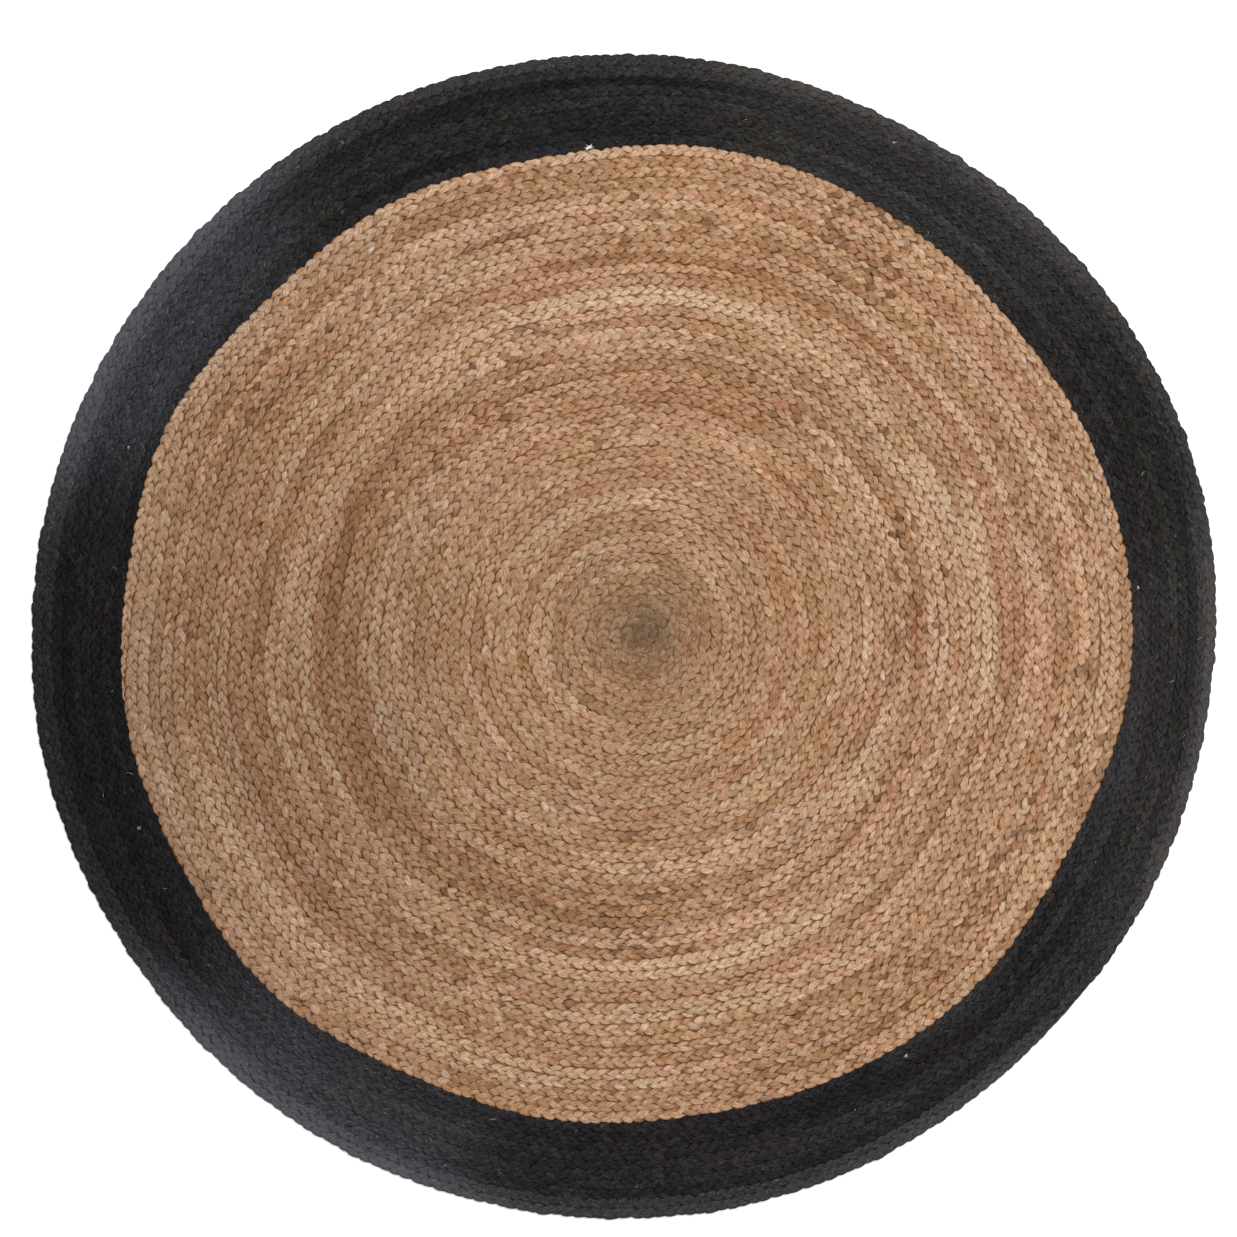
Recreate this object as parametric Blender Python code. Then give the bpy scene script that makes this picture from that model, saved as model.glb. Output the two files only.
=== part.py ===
"""Round hand-braided rug: a natural braid wound in a flat coil, with a black braid coiled round it.

Metres, +Z up. The rug lies flat on z = 0, and the middle of its box is over the origin.
Each turn of braid is raised as a ridge, with a valley at the sewn joint on either side.
"""

import math
from collections import namedtuple

import bpy
import numpy as np

CROWN_Z = 0.009  # the top of a braid's ridge
VALLEY_Z = 0.006  # the joint between two turns, and the top of the seam between the colours
EDGE_Z = 0.0045  # the height at which the rug's free edge reaches furthest out
EDGE_INSET = 0.002  # how far the underside stops short of that edge
SEAM_GAP = 0.0003  # between the natural coil and the black one
START_BEARING = 195.0  # degrees: both braids start here, and the natural one ends here
RIM_POINTS = 60  # points per turn near the seam and in the black coil
NATURAL_TURNS = 45
BLACK_TURNS = 9 + 22 / RIM_POINTS
TAPER_TURNS = 4 / RIM_POINTS  # over which the end of a braid thins away

# The inner turns are too small to need as many points as the rim.
Spacing = namedtuple("Spacing", "up_to_turn points_per_turn")
NATURAL_SPACINGS = (Spacing(2, 12), Spacing(6, 20), Spacing(14, 30), Spacing(36, 40))

# Reaches from the middle of the coil, at bearings that run anticlockwise from +X.
Reach = namedtuple("Reach", "bearing_deg rim_mm seam_mm")
OUTLINE = (
    Reach(0, 732, 627),
    Reach(15, 739, 626),
    Reach(30, 737, 621),
    Reach(45, 734, 619),
    Reach(60, 731, 624),
    Reach(75, 735, 628),
    Reach(90, 741, 626),
    Reach(105, 749, 625),
    Reach(120, 758, 639),
    Reach(135, 766, 642),
    Reach(150, 773, 659),
    Reach(165, 778, 665),
    Reach(180, 781, 667),
    Reach(195, 781, 668),
    Reach(210, 774, 660),
    Reach(225, 769, 659),
    Reach(240, 762, 639),
    Reach(255, 754, 633),
    Reach(270, 746, 623),
    Reach(285, 739, 618),
    Reach(300, 731, 620),
    Reach(315, 726, 619),
    Reach(330, 727, 611),
    Reach(345, 728, 619),
)


def soft_step(x):
    """0 up to x = 0 and 1 from x = 1, with a soft start and stop between them."""
    x = min(max(x, 0.0), 1.0)
    return x * x * (3 - 2 * x)


def closed_curve(reaches_mm):
    """A function from a bearing in radians to metres, smooth through reaches at even bearings."""
    waves = np.fft.rfft(reaches_mm) / len(reaches_mm) / 1000
    waves[1:-1] *= 2

    def reach_at(bearing):
        return float((waves * np.exp(1j * bearing * np.arange(len(waves)))).real.sum())

    return reach_at


rim_reach = closed_curve([row.rim_mm for row in OUTLINE])
seam_reach = closed_curve([row.seam_mm for row in OUTLINE])


class Coil:
    """A braid wound outwards. Rows are counted in braid widths: its sides move out by one a turn."""

    def __init__(self, turns, inner_reach, outer_reach, from_middle):
        self.turns = turns
        self.inner_reach = inner_reach
        self.outer_reach = outer_reach
        self.from_middle = from_middle

    def inner_row(self, turn):
        """The row along the braid's inner side. A braid that starts at a seam starts thin."""
        if self.from_middle:
            return turn
        return turn + 1 - soft_step(turn / TAPER_TURNS)

    def outer_row(self, turn):
        """The row along the braid's outer side, which meets the inner one at the braid's end."""
        return turn + 1 - soft_step((turn - self.turns + TAPER_TURNS) / TAPER_TURNS)

    def joint_z(self, turn):
        """The height of the joint along the inner side, where a first turn closes on itself."""
        if self.from_middle:
            return CROWN_Z - (CROWN_Z - VALLEY_Z) * soft_step(turn)
        return VALLEY_Z

    def point(self, turn, row, z):
        """The (x, y, z) of a row at the bearing of this turn."""
        bearing = math.radians(START_BEARING) + 2 * math.pi * turn
        part = turn - math.floor(turn + 1e-9)
        last_turn = part + math.ceil(self.turns - part - 1e-9) - 1
        first_row = 0.0 if self.from_middle else self.inner_row(part)
        low, high = self.inner_reach(bearing), self.outer_reach(bearing)
        reach = low + (high - low) * (row - first_row) / (self.outer_row(last_turn) - first_row)
        return reach * math.cos(bearing), reach * math.sin(bearing), z


class Shell:
    """The points and triangles of one closed solid."""

    def __init__(self):
        self.points = []
        self.faces = []

    def add(self, point):
        """Adds a point and returns its number."""
        self.points.append(point)
        return len(self.points) - 1

    def face(self, a, b, c):
        """Adds a triangle, unless two of its corners are the same point."""
        if len({a, b, c}) == 3:
            self.faces.append((a, b, c))

    def strip(self, left, right):
        """Fills between two lines of (turn, number), facing up if the right one is further out."""
        i, j = 0, 0
        while i + 1 < len(left) or j + 1 < len(right):
            next_left = left[i + 1][0] if i + 1 < len(left) else math.inf
            next_right = right[j + 1][0] if j + 1 < len(right) else math.inf
            if next_left <= next_right:
                self.face(left[i][1], right[j][1], left[i + 1][1])
                i += 1
            else:
                self.face(left[i][1], right[j][1], right[j + 1][1])
                j += 1


def sample_turns(turns, spacings):
    """The turns at which a braid gets points, from 0 to its end."""
    found, start = [], 0
    for spacing in spacings:
        count = (spacing.up_to_turn - start) * spacing.points_per_turn
        found += [start + i / spacing.points_per_turn for i in range(count)]
        start = spacing.up_to_turn
    count = round((turns - start) * RIM_POINTS)
    return found + [start + i / RIM_POINTS for i in range(count + 1)]


def ridged_top(shell, coil, turns, rim_z):
    """Adds the ridged upper face. Returns its inner side, its ridge and its rim as lines."""
    side, ridge = [], []
    for turn in turns[0 if coil.from_middle else 1 : -1]:
        inner, outer = coil.inner_row(turn), coil.outer_row(turn)
        z = VALLEY_Z + (CROWN_Z - VALLEY_Z) * (outer - inner)
        side.append((turn, shell.add(coil.point(turn, inner, coil.joint_z(turn)))))
        ridge.append((turn, shell.add(coil.point(turn, (inner + outer) / 2, z))))
    end = (turns[-1], shell.add(coil.point(turns[-1], turns[-1], rim_z)))
    side.append(end)
    ridge.append(end)
    if not coil.from_middle:
        start = next(number for turn, number in side if turn > 1 - 1e-6)
        side.insert(0, (turns[0], start))
        ridge.insert(0, (turns[0], start))
    rim = [(coil.turns - 1, end[1])]
    for turn in turns[:-1]:
        if turn > coil.turns - 1 + 1e-6:
            rim.append((turn, shell.add(coil.point(turn, coil.outer_row(turn), rim_z))))
    rim.append(end)
    outer_side = [(turn - 1, number) for turn, number in side if turn > 1 - 1e-6]
    shell.strip(side, ridge)
    shell.strip(ridge, outer_side + rim[1:])
    return side, ridge, rim


def foot_of(shell, line, inset):
    """A copy of a closed line at z = 0, moved in by inset. Its last number repeats its first."""
    foot = []
    for turn, number in line[:-1]:
        x, y, _ = shell.points[number]
        share = 1 - inset / math.hypot(x, y)
        foot.append((turn, shell.add((x * share, y * share, 0.0))))
    return foot + [(line[-1][0], foot[0][1])]


def natural_shell():
    """The disc of natural braid."""
    coil = Coil(NATURAL_TURNS, lambda _: 0.0, lambda b: seam_reach(b) - SEAM_GAP / 2, True)
    shell = Shell()
    side, ridge, rim = ridged_top(shell, coil, sample_turns(NATURAL_TURNS, NATURAL_SPACINGS), VALLEY_Z)
    middle, *first_turn = [number for turn, number in side if turn < 1 + 1e-6]
    for near, far in zip(first_turn[:-2], first_turn[1:-1]):
        shell.face(middle, near, far)
    shell.face(middle, first_turn[-2], ridge[0][1])
    shell.face(ridge[0][1], first_turn[-2], first_turn[-1])
    foot = foot_of(shell, rim, 0.0)
    shell.strip(rim, foot)
    shell.strip(foot, [(foot[0][0], shell.add((0.0, 0.0, 0.0)))])
    return shell


def black_shell():
    """The ring of black braid."""
    coil = Coil(BLACK_TURNS, lambda b: seam_reach(b) + SEAM_GAP / 2, rim_reach, False)
    shell = Shell()
    side, _, rim = ridged_top(shell, coil, sample_turns(BLACK_TURNS, ()), EDGE_Z)
    seam = [(turn, number) for turn, number in side if turn < 1 + 1e-6]
    seam_foot = foot_of(shell, seam, 0.0)
    rim_foot = foot_of(shell, rim, EDGE_INSET)
    shell.strip(seam_foot, seam)
    shell.strip(rim, rim_foot)
    # The rim line starts part way round, so its foot is put in order from the seam's first bearing.
    around = [(round(turn * RIM_POINTS) % RIM_POINTS, number) for turn, number in rim_foot[:-1]]
    around = [(step / RIM_POINTS, number) for step, number in sorted(around)]
    shell.strip(around + [(1.0, around[0][1])], seam_foot)
    return shell


def principled(name, colour, roughness):
    """A plain material with this base colour."""
    material = bpy.data.materials.new(name)
    material.use_nodes = True
    shader = material.node_tree.nodes["Principled BSDF"]
    shader.inputs["Base Color"].default_value = (*colour, 1.0)
    shader.inputs["Roughness"].default_value = roughness
    return material


def add_object(name, shell, shift, material):
    """Makes the named object from a shell, moved by shift."""
    mesh = bpy.data.meshes.new(name)
    mesh.from_pydata((np.array(shell.points) + shift).tolist(), [], shell.faces)
    mesh.validate()
    mesh.materials.append(material)
    mesh.polygons.foreach_set("use_smooth", [True] * len(mesh.polygons))
    mesh.set_sharp_from_angle(angle=math.radians(60))
    bpy.context.collection.objects.link(bpy.data.objects.new(name, mesh))


def main():
    """Clears the scene and builds both coils."""
    for obj in list(bpy.data.objects):
        bpy.data.objects.remove(obj, do_unlink=True)
    natural, black = natural_shell(), black_shell()
    points = np.array(natural.points + black.points)
    shift = -(points.max(axis=0) + points.min(axis=0)) / 2
    shift[2] = 0.0
    add_object("natural_coil", natural, shift, principled("natural_jute", (0.46, 0.29, 0.16), 0.85))
    add_object("black_coil", black, shift, principled("black_jute", (0.02, 0.02, 0.021), 0.8))


main()
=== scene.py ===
import logging
import math
from dataclasses import dataclass
from enum import Enum
from typing import NamedTuple

import bmesh
import bpy
import numpy as np
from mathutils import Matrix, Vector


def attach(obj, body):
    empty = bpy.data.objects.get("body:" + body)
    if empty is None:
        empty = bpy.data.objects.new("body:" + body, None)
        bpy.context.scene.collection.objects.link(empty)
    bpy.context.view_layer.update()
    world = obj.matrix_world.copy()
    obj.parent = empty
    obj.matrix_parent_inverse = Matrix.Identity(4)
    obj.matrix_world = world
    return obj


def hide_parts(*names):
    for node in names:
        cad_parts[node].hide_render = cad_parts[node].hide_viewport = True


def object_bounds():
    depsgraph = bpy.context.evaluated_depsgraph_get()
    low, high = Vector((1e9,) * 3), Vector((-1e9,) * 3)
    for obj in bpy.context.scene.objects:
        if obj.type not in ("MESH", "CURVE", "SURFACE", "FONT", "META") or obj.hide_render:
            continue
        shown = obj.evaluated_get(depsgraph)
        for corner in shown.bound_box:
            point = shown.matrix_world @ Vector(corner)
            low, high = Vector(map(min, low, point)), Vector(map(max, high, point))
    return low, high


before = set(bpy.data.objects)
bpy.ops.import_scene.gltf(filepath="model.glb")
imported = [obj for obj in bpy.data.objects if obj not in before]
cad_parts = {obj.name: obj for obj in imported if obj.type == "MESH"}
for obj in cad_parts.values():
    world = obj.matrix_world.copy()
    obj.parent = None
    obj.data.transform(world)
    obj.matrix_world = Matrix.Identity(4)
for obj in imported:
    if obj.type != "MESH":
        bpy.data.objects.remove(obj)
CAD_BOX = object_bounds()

# Dressed look of a round hand-braided rug: natural jute wound in a flat coil, with a border of
# black jute. Each coil is one long braid of three strands. Every strand is a closed tube that
# swings from side to side and over and under the others, as in the real braid.
# Metres, +Z up, and the rug lies on z = 0.

log = logging.getLogger("braided_rug")

Array = np.ndarray
Colour = tuple[float, float, float]
Rng = np.random.Generator
Socket = bpy.types.NodeSocket

BODY = "root"
STRANDS = 3
FULL_TURN = 2 * math.pi
START_BEARING = math.radians(195.0)  # both braids start here, and the natural one ends here
SEAM_GAP = 0.0003  # between the two coils
RIM_STEPS = 60  # the parts of a turn that the outline is counted in
TAPER_TURNS = 4 / RIM_STEPS  # over which the end of a braid thins away
THINNEST_BRAID = 0.0008  # how wide it still is there
THINNEST_SHARE = 0.05  # the least share of its usual width that its thickness follows

# The start of the natural braid: a short straight length across the middle of the coil.
START_LENGTH = 0.012
START_END = 0.0005  # how far before the coiled part it stops
START_SAMPLES = 12
STEADY_SAMPLE = 6  # the first sample of the coiled part that heads the right way
TUCKED_TURNS = 0.36  # over which the coiled part is drawn in towards the middle

# The rug's uneven outline: reaches from the middle of the coil, at each 15 degrees anticlockwise
# from +X.
RIM_REACHES_MM = (
    732, 739, 737, 734, 731, 735, 741, 749, 758, 766, 773, 778,
    781, 781, 774, 769, 762, 754, 746, 739, 731, 726, 727, 728,
)
SEAM_REACHES_MM = (
    627, 626, 621, 619, 624, 628, 626, 625, 639, 642, 659, 665,
    667, 668, 660, 659, 639, 633, 623, 618, 620, 619, 611, 619,
)


def soft_step(x: Array) -> Array:
    """Rises softly from 0 to 1 where x does, and is level on both sides of that."""
    x = np.clip(x, 0.0, 1.0)
    return x * x * (3 - 2 * x)


def spokes(bearing: Array) -> Array:
    """The unit directions away from the coil's middle at some bearings in radians."""
    return np.stack([np.cos(bearing), np.sin(bearing)], axis=-1)


def unit(vectors: Array) -> Array:
    """Scales vectors to a length of 1."""
    return vectors / np.linalg.norm(vectors, axis=-1, keepdims=True)


def metres_along(points: Array) -> Array:
    """The distance to each point of a line, along it from its start."""
    return np.concatenate([[0], np.cumsum(np.linalg.norm(np.diff(points, axis=0), axis=1))])


def from_middle(points: Array) -> Array:
    """The x and y of each place, seen from the middle of the coil."""
    return points[:, :2] - COIL_MIDDLE


def wander(rng: Rng, where: Array, pitch: float) -> Array:
    """Random values that drift slowly along a line.

    Args:
        rng: The seeded source of chance.
        where: Places along the line, in metres, none of them below 0.
        pitch: The distance in metres between two independent values.

    Returns:
        A value for each place, about 0 and with a spread of about 1.
    """
    knots = rng.standard_normal(int(where.max() / pitch) + 3)
    place = np.clip(where, 0, None) / pitch
    first = place.astype(int)
    share = soft_step(place - first)
    return (knots[first] * (1 - share) + knots[first + 1] * share) * 1.2


def arc_drift(rng: Rng, row: Array, bearing: Array, rows: float, arc_deg: float) -> Array:
    """Random values that drift slowly round the coil and faster across its rows.

    Args:
        rng: The seeded source of chance.
        row: How many braid widths each place is from the coil's start.
        bearing: The bearing of each place in radians.
        rows: The number of rows between independent values.
        arc_deg: The degrees of arc between independent values.

    Returns:
        A value for each place, about 0 and with a spread of about 1.
    """
    arcs = round(360 / arc_deg)
    grid = rng.standard_normal((int(row.max() / rows) + 3, arcs))
    across = np.clip(row, 0, None) / rows
    around = (bearing % FULL_TURN) / FULL_TURN * arcs
    i, j = across.astype(int), around.astype(int)
    u, v = soft_step(across - i), soft_step(around - j)
    near = grid[i, j % arcs] * (1 - v) + grid[i, (j + 1) % arcs] * v
    far = grid[i + 1, j % arcs] * (1 - v) + grid[i + 1, (j + 1) % arcs] * v
    return (near * (1 - u) + far * u) * 1.4


class Drift(NamedTuple):
    """An unevenness that drifts along a strand.

    Attributes:
        pitch: The distance in metres between two independent values.
        size: How large it is, in the unit of what it changes.
    """

    pitch: float
    size: float

    def along(self, rng: Rng, where: Array) -> Array:
        """Reads it at places along the strand, in metres."""
        return wander(rng, where, self.pitch) * self.size


@dataclass(frozen=True)
class UnevenRound:
    """A closed curve round the middle of the coil, smooth through reaches at even bearings.

    Attributes:
        reaches_mm: The reaches from the middle, in millimetres, anticlockwise from +X.
        offset: How far outside them the curve lies, in metres.
    """

    reaches_mm: tuple[int, ...]
    offset: float = 0.0

    def reach(self, bearing: Array) -> Array:
        """The curve's reach.

        Args:
            bearing: Bearings in radians.

        Returns:
            The reach at each bearing, in metres.
        """
        waves = np.fft.rfft(self.reaches_mm) / len(self.reaches_mm) / 1000
        waves[1:-1] *= 2
        turning = np.exp(1j * np.multiply.outer(bearing, np.arange(len(waves))))
        return (turning * waves).real.sum(axis=-1) + self.offset


@dataclass(frozen=True)
class Run:
    """Samples along the middle line of a wound braid.

    Attributes:
        turn: Turns since the braid's start.
        along: Metres since the braid's start.
        middle: The middle line's x and y.
        outward: The unit direction across the braid, away from the coil's middle.
        width: The braid's width in metres.
    """

    turn: Array
    along: Array
    middle: Array
    outward: Array
    width: Array

    @property
    def length(self) -> float:
        """The braid's length in metres."""
        return float(self.along[-1])

    @property
    def bearing(self) -> Array:
        """The bearing of each sample in radians."""
        return START_BEARING + FULL_TURN * self.turn

    def at(self, along: Array) -> "Run":
        """Reads the run at other places.

        Args:
            along: Metres since the braid's start.

        Returns:
            The run with one sample for each of these places.
        """

        def read(values: Array) -> Array:
            """Reads one column at these places."""
            return np.interp(along, self.along, values)

        middle, outward = (
            np.stack([read(pairs[:, 0]), read(pairs[:, 1])], axis=1)
            for pairs in (self.middle, self.outward)
        )
        return Run(read(self.turn), along, middle, unit(outward), read(self.width))


@dataclass(frozen=True)
class CoilPlan:
    """How a braid is wound: rows are counted in braid widths, and its sides move out by one a turn.

    Attributes:
        turns: The number of turns.
        inner: The curve that the first turn lies against, or None where it starts at the middle.
        outer: The curve along the last turn's outer side.
        unevenness: How far a joint between rows wanders, in braid widths.
        seed: The seed of that wander, and of how the strands lie.
        samples: The number of samples a turn along the braid's middle line.
    """

    turns: float
    inner: UnevenRound | None
    outer: UnevenRound
    unevenness: float
    seed: int
    samples: int = 720

    def inner_row(self, turn: Array) -> Array:
        """The row along the braid's inner side.

        Args:
            turn: Turns since the braid's start.

        Returns:
            The row, where a braid that starts at a seam starts thin.
        """
        if self.inner is None:
            return turn + 0.0
        return turn + 1 - soft_step(turn / TAPER_TURNS)

    def outer_row(self, turn: Array) -> Array:
        """The row along the braid's outer side, which meets the inner one at the braid's end."""
        return turn + 1 - soft_step((turn - self.turns + TAPER_TURNS) / TAPER_TURNS)

    def wobble(self, joint: Array) -> Array:
        """How far the joint at a row wanders, the same for the turns on its two sides.

        Args:
            joint: Turns at which the joint is an inner side.

        Returns:
            The wander in braid widths, and none along the coil's two edges.
        """
        rng = np.random.default_rng(self.seed)
        drift = 0.6 * wander(rng, joint, pitch=1 / 9) + 0.5 * wander(rng, joint, pitch=1 / 31)
        inside = soft_step((joint - 1) / 0.5) * soft_step((self.turns - joint) / 0.5)
        return drift * inside * self.unevenness

    def reach(self, turn: Array, row: Array) -> Array:
        """The reach of a row at the bearing of a turn.

        Args:
            turn: Turns since the braid's start.
            row: Rows, in braid widths.

        Returns:
            Metres from the middle of the coil.
        """
        bearing = START_BEARING + FULL_TURN * turn
        part = turn - np.floor(turn + 1e-9)
        last_turn = part + np.ceil(self.turns - part - 1e-9) - 1
        high = self.outer.reach(bearing)
        if self.inner is None:
            return high * row / self.outer_row(last_turn)
        low, first = self.inner.reach(bearing), self.inner_row(part)
        return low + (high - low) * (row - first) / (self.outer_row(last_turn) - first)

    def place(self, turn: Array, row: Array) -> Array:
        """The x and y of a row, in the rug's frame, at the bearing of a turn."""
        bearing = START_BEARING + FULL_TURN * turn
        return spokes(bearing) * self.reach(turn, row)[..., None] + COIL_MIDDLE

    def run(self) -> Run:
        """Follows the braid from its start to its end.

        Returns:
            Samples along its middle line.
        """
        turn = np.linspace(0, self.turns, round(self.turns * self.samples) + 1)
        inner = self.inner_row(turn) + self.wobble(turn)
        outer = self.outer_row(turn) + self.wobble(turn + 1)
        tucked = 0.5 * (1 - soft_step(turn / TUCKED_TURNS)) if self.inner is None else 0.0
        middle = self.place(turn, (inner + outer) / 2 - tucked)
        step = np.gradient(middle, axis=0)
        outward = unit(np.stack([step[:, 1], -step[:, 0]], axis=1))
        width = np.clip(self.reach(turn, outer) - self.reach(turn, inner), THINNEST_BRAID, None)
        if self.inner is None:
            across = outward[STEADY_SAMPLE]
            lead = np.linspace(START_LENGTH, START_END, START_SAMPLES)
            start = middle[0] - lead[:, None] * np.array([-across[1], across[0]])
            straight = np.tile(across, (START_SAMPLES + STEADY_SAMPLE, 1))
            middle = np.concatenate([start, middle])
            outward = np.concatenate([straight, outward[STEADY_SAMPLE:]])
            turn, width = (
                np.concatenate([np.full(START_SAMPLES, row[0]), row]) for row in (turn, width)
            )
        return Run(turn, metres_along(middle), middle, outward, width)


NATURAL_PLAN = CoilPlan(45, None, UnevenRound(SEAM_REACHES_MM, -SEAM_GAP / 2), 0.055, 11)
BLACK_PLAN = CoilPlan(
    9 + 22 / RIM_STEPS,
    UnevenRound(SEAM_REACHES_MM, SEAM_GAP / 2),
    UnevenRound(RIM_REACHES_MM),
    0.06,
    12,
)


def middle_from_box() -> Array:
    """Finds where the coil's middle is, with the middle of the rug's box over the origin.

    Returns:
        Its x and y in metres.
    """
    turn = np.linspace(BLACK_PLAN.turns - 1, BLACK_PLAN.turns, RIM_STEPS + 1)
    reach = BLACK_PLAN.reach(turn, BLACK_PLAN.outer_row(turn))
    rim = reach[:, None] * spokes(START_BEARING + FULL_TURN * turn)
    low, high = CAD_BOX
    box_middle = np.array([low.x + high.x, low.y + high.y]) / 2
    return box_middle - (rim.max(axis=0) + rim.min(axis=0)) / 2


COIL_MIDDLE = middle_from_box()


class Patch(NamedTuple):
    """A round patch that fades out from its middle.

    Attributes:
        x: The x of its middle, seen from the middle of the coil, in metres.
        y: The y of its middle.
        radius: How far it spreads, in metres.
        strength: How strong it is at its middle.
    """

    x: float
    y: float
    radius: float
    strength: float

    def cover(self, points: Array) -> Array:
        """How strong the patch is at each place, from 0 to its strength."""
        reach = np.linalg.norm(from_middle(points) - (self.x, self.y), axis=1)
        return self.strength * np.exp(-((reach / self.radius) ** 2))


MATTED = Patch(0.010, 0.004, 0.065, 1.0)  # where the fibre is trodden flat and fuzzy
SOILED = (Patch(0.012, 0.004, 0.038, 0.50), Patch(-0.018, 0.007, 0.108, 0.46))
SOIL_DEPTH = (0.62, 0.59, 0.60)  # how much darker soil makes red, green and blue
TRODDEN_REACH = 0.36  # how far from the coil's middle wear has started to even the fibre out
TRODDEN_FADE = 0.16  # the distance in which that sets in
TRODDEN_TONE = 0.36  # the share of the tone's drift that wear takes away
TRODDEN_SPECKS = 0.6  # the share of the specks
# Painted shade with dust at the leaves' dark edges, partly taken away by wear and matting.
TRODDEN_EDGES = 0.10  # the share of the leaves' dark edges
MATTED_EDGES = 0.55  # the share of those that matting takes away


def trodden(points: Array) -> Array:
    """How far wear has evened the fibre out at each place, as a share: more in the inner half."""
    reach = np.linalg.norm(from_middle(points), axis=1)
    return soft_step((TRODDEN_REACH - reach) / TRODDEN_FADE)


class Fibre(Enum):
    """Colours of jute fibre, and of painted glare, as linear red, green and blue."""

    TAN = (0.332, 0.195, 0.1135)
    STRAW = (0.47, 0.335, 0.222)
    RUST = (0.24, 0.099, 0.048)
    BROWN = (0.14, 0.068, 0.033)
    DARK = (0.080, 0.037, 0.018)
    GREY = (0.26, 0.185, 0.125)
    BLACK = (0.0118, 0.0108, 0.0110)
    # The next two are also painted glare on the black coil, and the colours of some loose hairs.
    GREY_AND_GLARE = (0.110, 0.109, 0.131)
    DUST_AND_GLARE = (0.115, 0.106, 0.100)
    LINT = (0.80, 0.78, 0.74)


def mix(colour: Array, fibre: Fibre, share: Array) -> Array:
    """Mixes another fibre into some colours, by a share from 0 to 1 for each of them."""
    share = np.clip(share, 0, 1)[:, None]
    return colour * (1 - share) + np.array(fibre.value) * share


class Streak(NamedTuple):
    """A run of other fibre worked into the braid along the rows, or a patch of painted glare.

    Attributes:
        fibre: Its colour.
        from_deg: The bearing that it starts at, from the coil's middle.
        to_deg: The bearing that it ends at.
        reach_mm: Its reach from the coil's middle.
        wide_mm: Its width across the rows.
        strength: How much of it there is, from 0 to 1.
    """

    fibre: Fibre
    from_deg: float
    to_deg: float
    reach_mm: float
    wide_mm: float
    strength: float

    def cover(self, points: Array) -> Array:
        """How much of its fibre there is.

        Args:
            points: Places on the rug.

        Returns:
            Shares from 0 to its strength.
        """
        off = from_middle(points)
        reach = np.linalg.norm(off, axis=1) * 1000
        bearing = np.degrees(np.arctan2(off[:, 1], off[:, 0]))
        half_arc = (self.to_deg - self.from_deg) / 2
        middle = (self.to_deg + self.from_deg) / 2
        off_arc = np.abs((bearing - middle + 180) % 360 - 180) / half_arc
        off_row = np.abs(reach - self.reach_mm) / self.wide_mm
        return soft_step(1.6 - off_arc * 1.3) * soft_step(1.5 - off_row) * self.strength


def streaks_of(
    *groups: tuple[Fibre, tuple[tuple[float, float, float, float, float], ...]]
) -> tuple[Streak, ...]:
    """Lists streaks in order, from fibres and the further values of each streak of theirs."""
    return tuple(Streak(fibre, *values) for fibre, rows in groups for values in rows)


# From and to degrees, reach and width in millimetres, and strength.
STREAKS = streaks_of(
    (Fibre.STRAW, (
        (62, 112, 434, 9, 0.75),
        (345, 385, 446, 9, 0.75),
        (264, 318, 430, 8, 0.6),
        (195, 250, 585, 22, 0.3),
        (320, 420, 612, 14, 0.22),
        (40, 150, 178, 12, 0.3),
    )),
    (Fibre.BROWN, (
        (103, 117, 537, 5, 0.8),
        (92, 93.5, 501, 6, 0.85),
        (87.5, 89, 541, 6, 0.8),
        (80, 81.5, 538, 6, 0.7),
        (19, 20.5, 501, 6, 0.8),
        (356, 361, 326, 5, 0.7),
        (348, 351, 327, 5, 0.7),
        (354, 357, 571, 6, 0.7),
        (345, 347, 566, 6, 0.7),
        (332, 336, 373, 6, 0.6),
        (168, 176, 490, 7, 0.55),
        (298, 301, 237, 6, 0.6),
        (266, 271, 530, 5, 0.8),
        (25, 95, 380, 7, 0.35),
        (225, 330, 372, 7, 0.4),
        (130, 215, 396, 7, 0.4),
        (160, 215, 520, 30, 0.13),
    )),
    (Fibre.RUST, ((165, 215, 512, 16, 0.20), (150, 200, 420, 12, 0.14))),
    (Fibre.BROWN, ((205, 240, 480, 10, 0.2),)),
    (Fibre.STRAW, ((0, 360, 438, 14, 0.22),)),
    (Fibre.RUST, (
        (99, 111, 456, 6, 0.7),
        (79, 86, 459, 6, 0.6),
        (37, 54, 267, 6, 0.8),
        (327, 340, 262, 6, 0.65),
        (357, 370, 348, 6, 0.5),
        (4, 14, 453, 6, 0.5),
        (20, 75, 570, 26, 0.25),
        (60, 120, 300, 10, 0.3),
        (200, 250, 600, 10, 0.2),
    )),
    (Fibre.GREY, ((120, 235, 640, 26, 0.3),)),
)
# Patches of painted glare on the black coil: pale grey-blue glare towards its upper left and lower
# left, and paler warm glare on its right.
GLARE_HAZES = streaks_of(
    (Fibre.GREY_AND_GLARE, (
        (128, 164, 766, 100, 0.19),
        (123, 169, 792, 46, 0.37),
        (218, 254, 760, 100, 0.19),
        (212, 260, 786, 46, 0.36),
    )),
    (Fibre.DUST_AND_GLARE, (
        (38, 84, 680, 80, 0.08),
        (38, 84, 742, 26, 0.16),
        (327, 373, 680, 80, 0.06),
        (327, 373, 738, 26, 0.24),
        (294, 318, 740, 26, 0.10),
        (340, 365, 632, 14, 0.08),
        (298, 318, 628, 14, 0.08),
    )),
)


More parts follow.
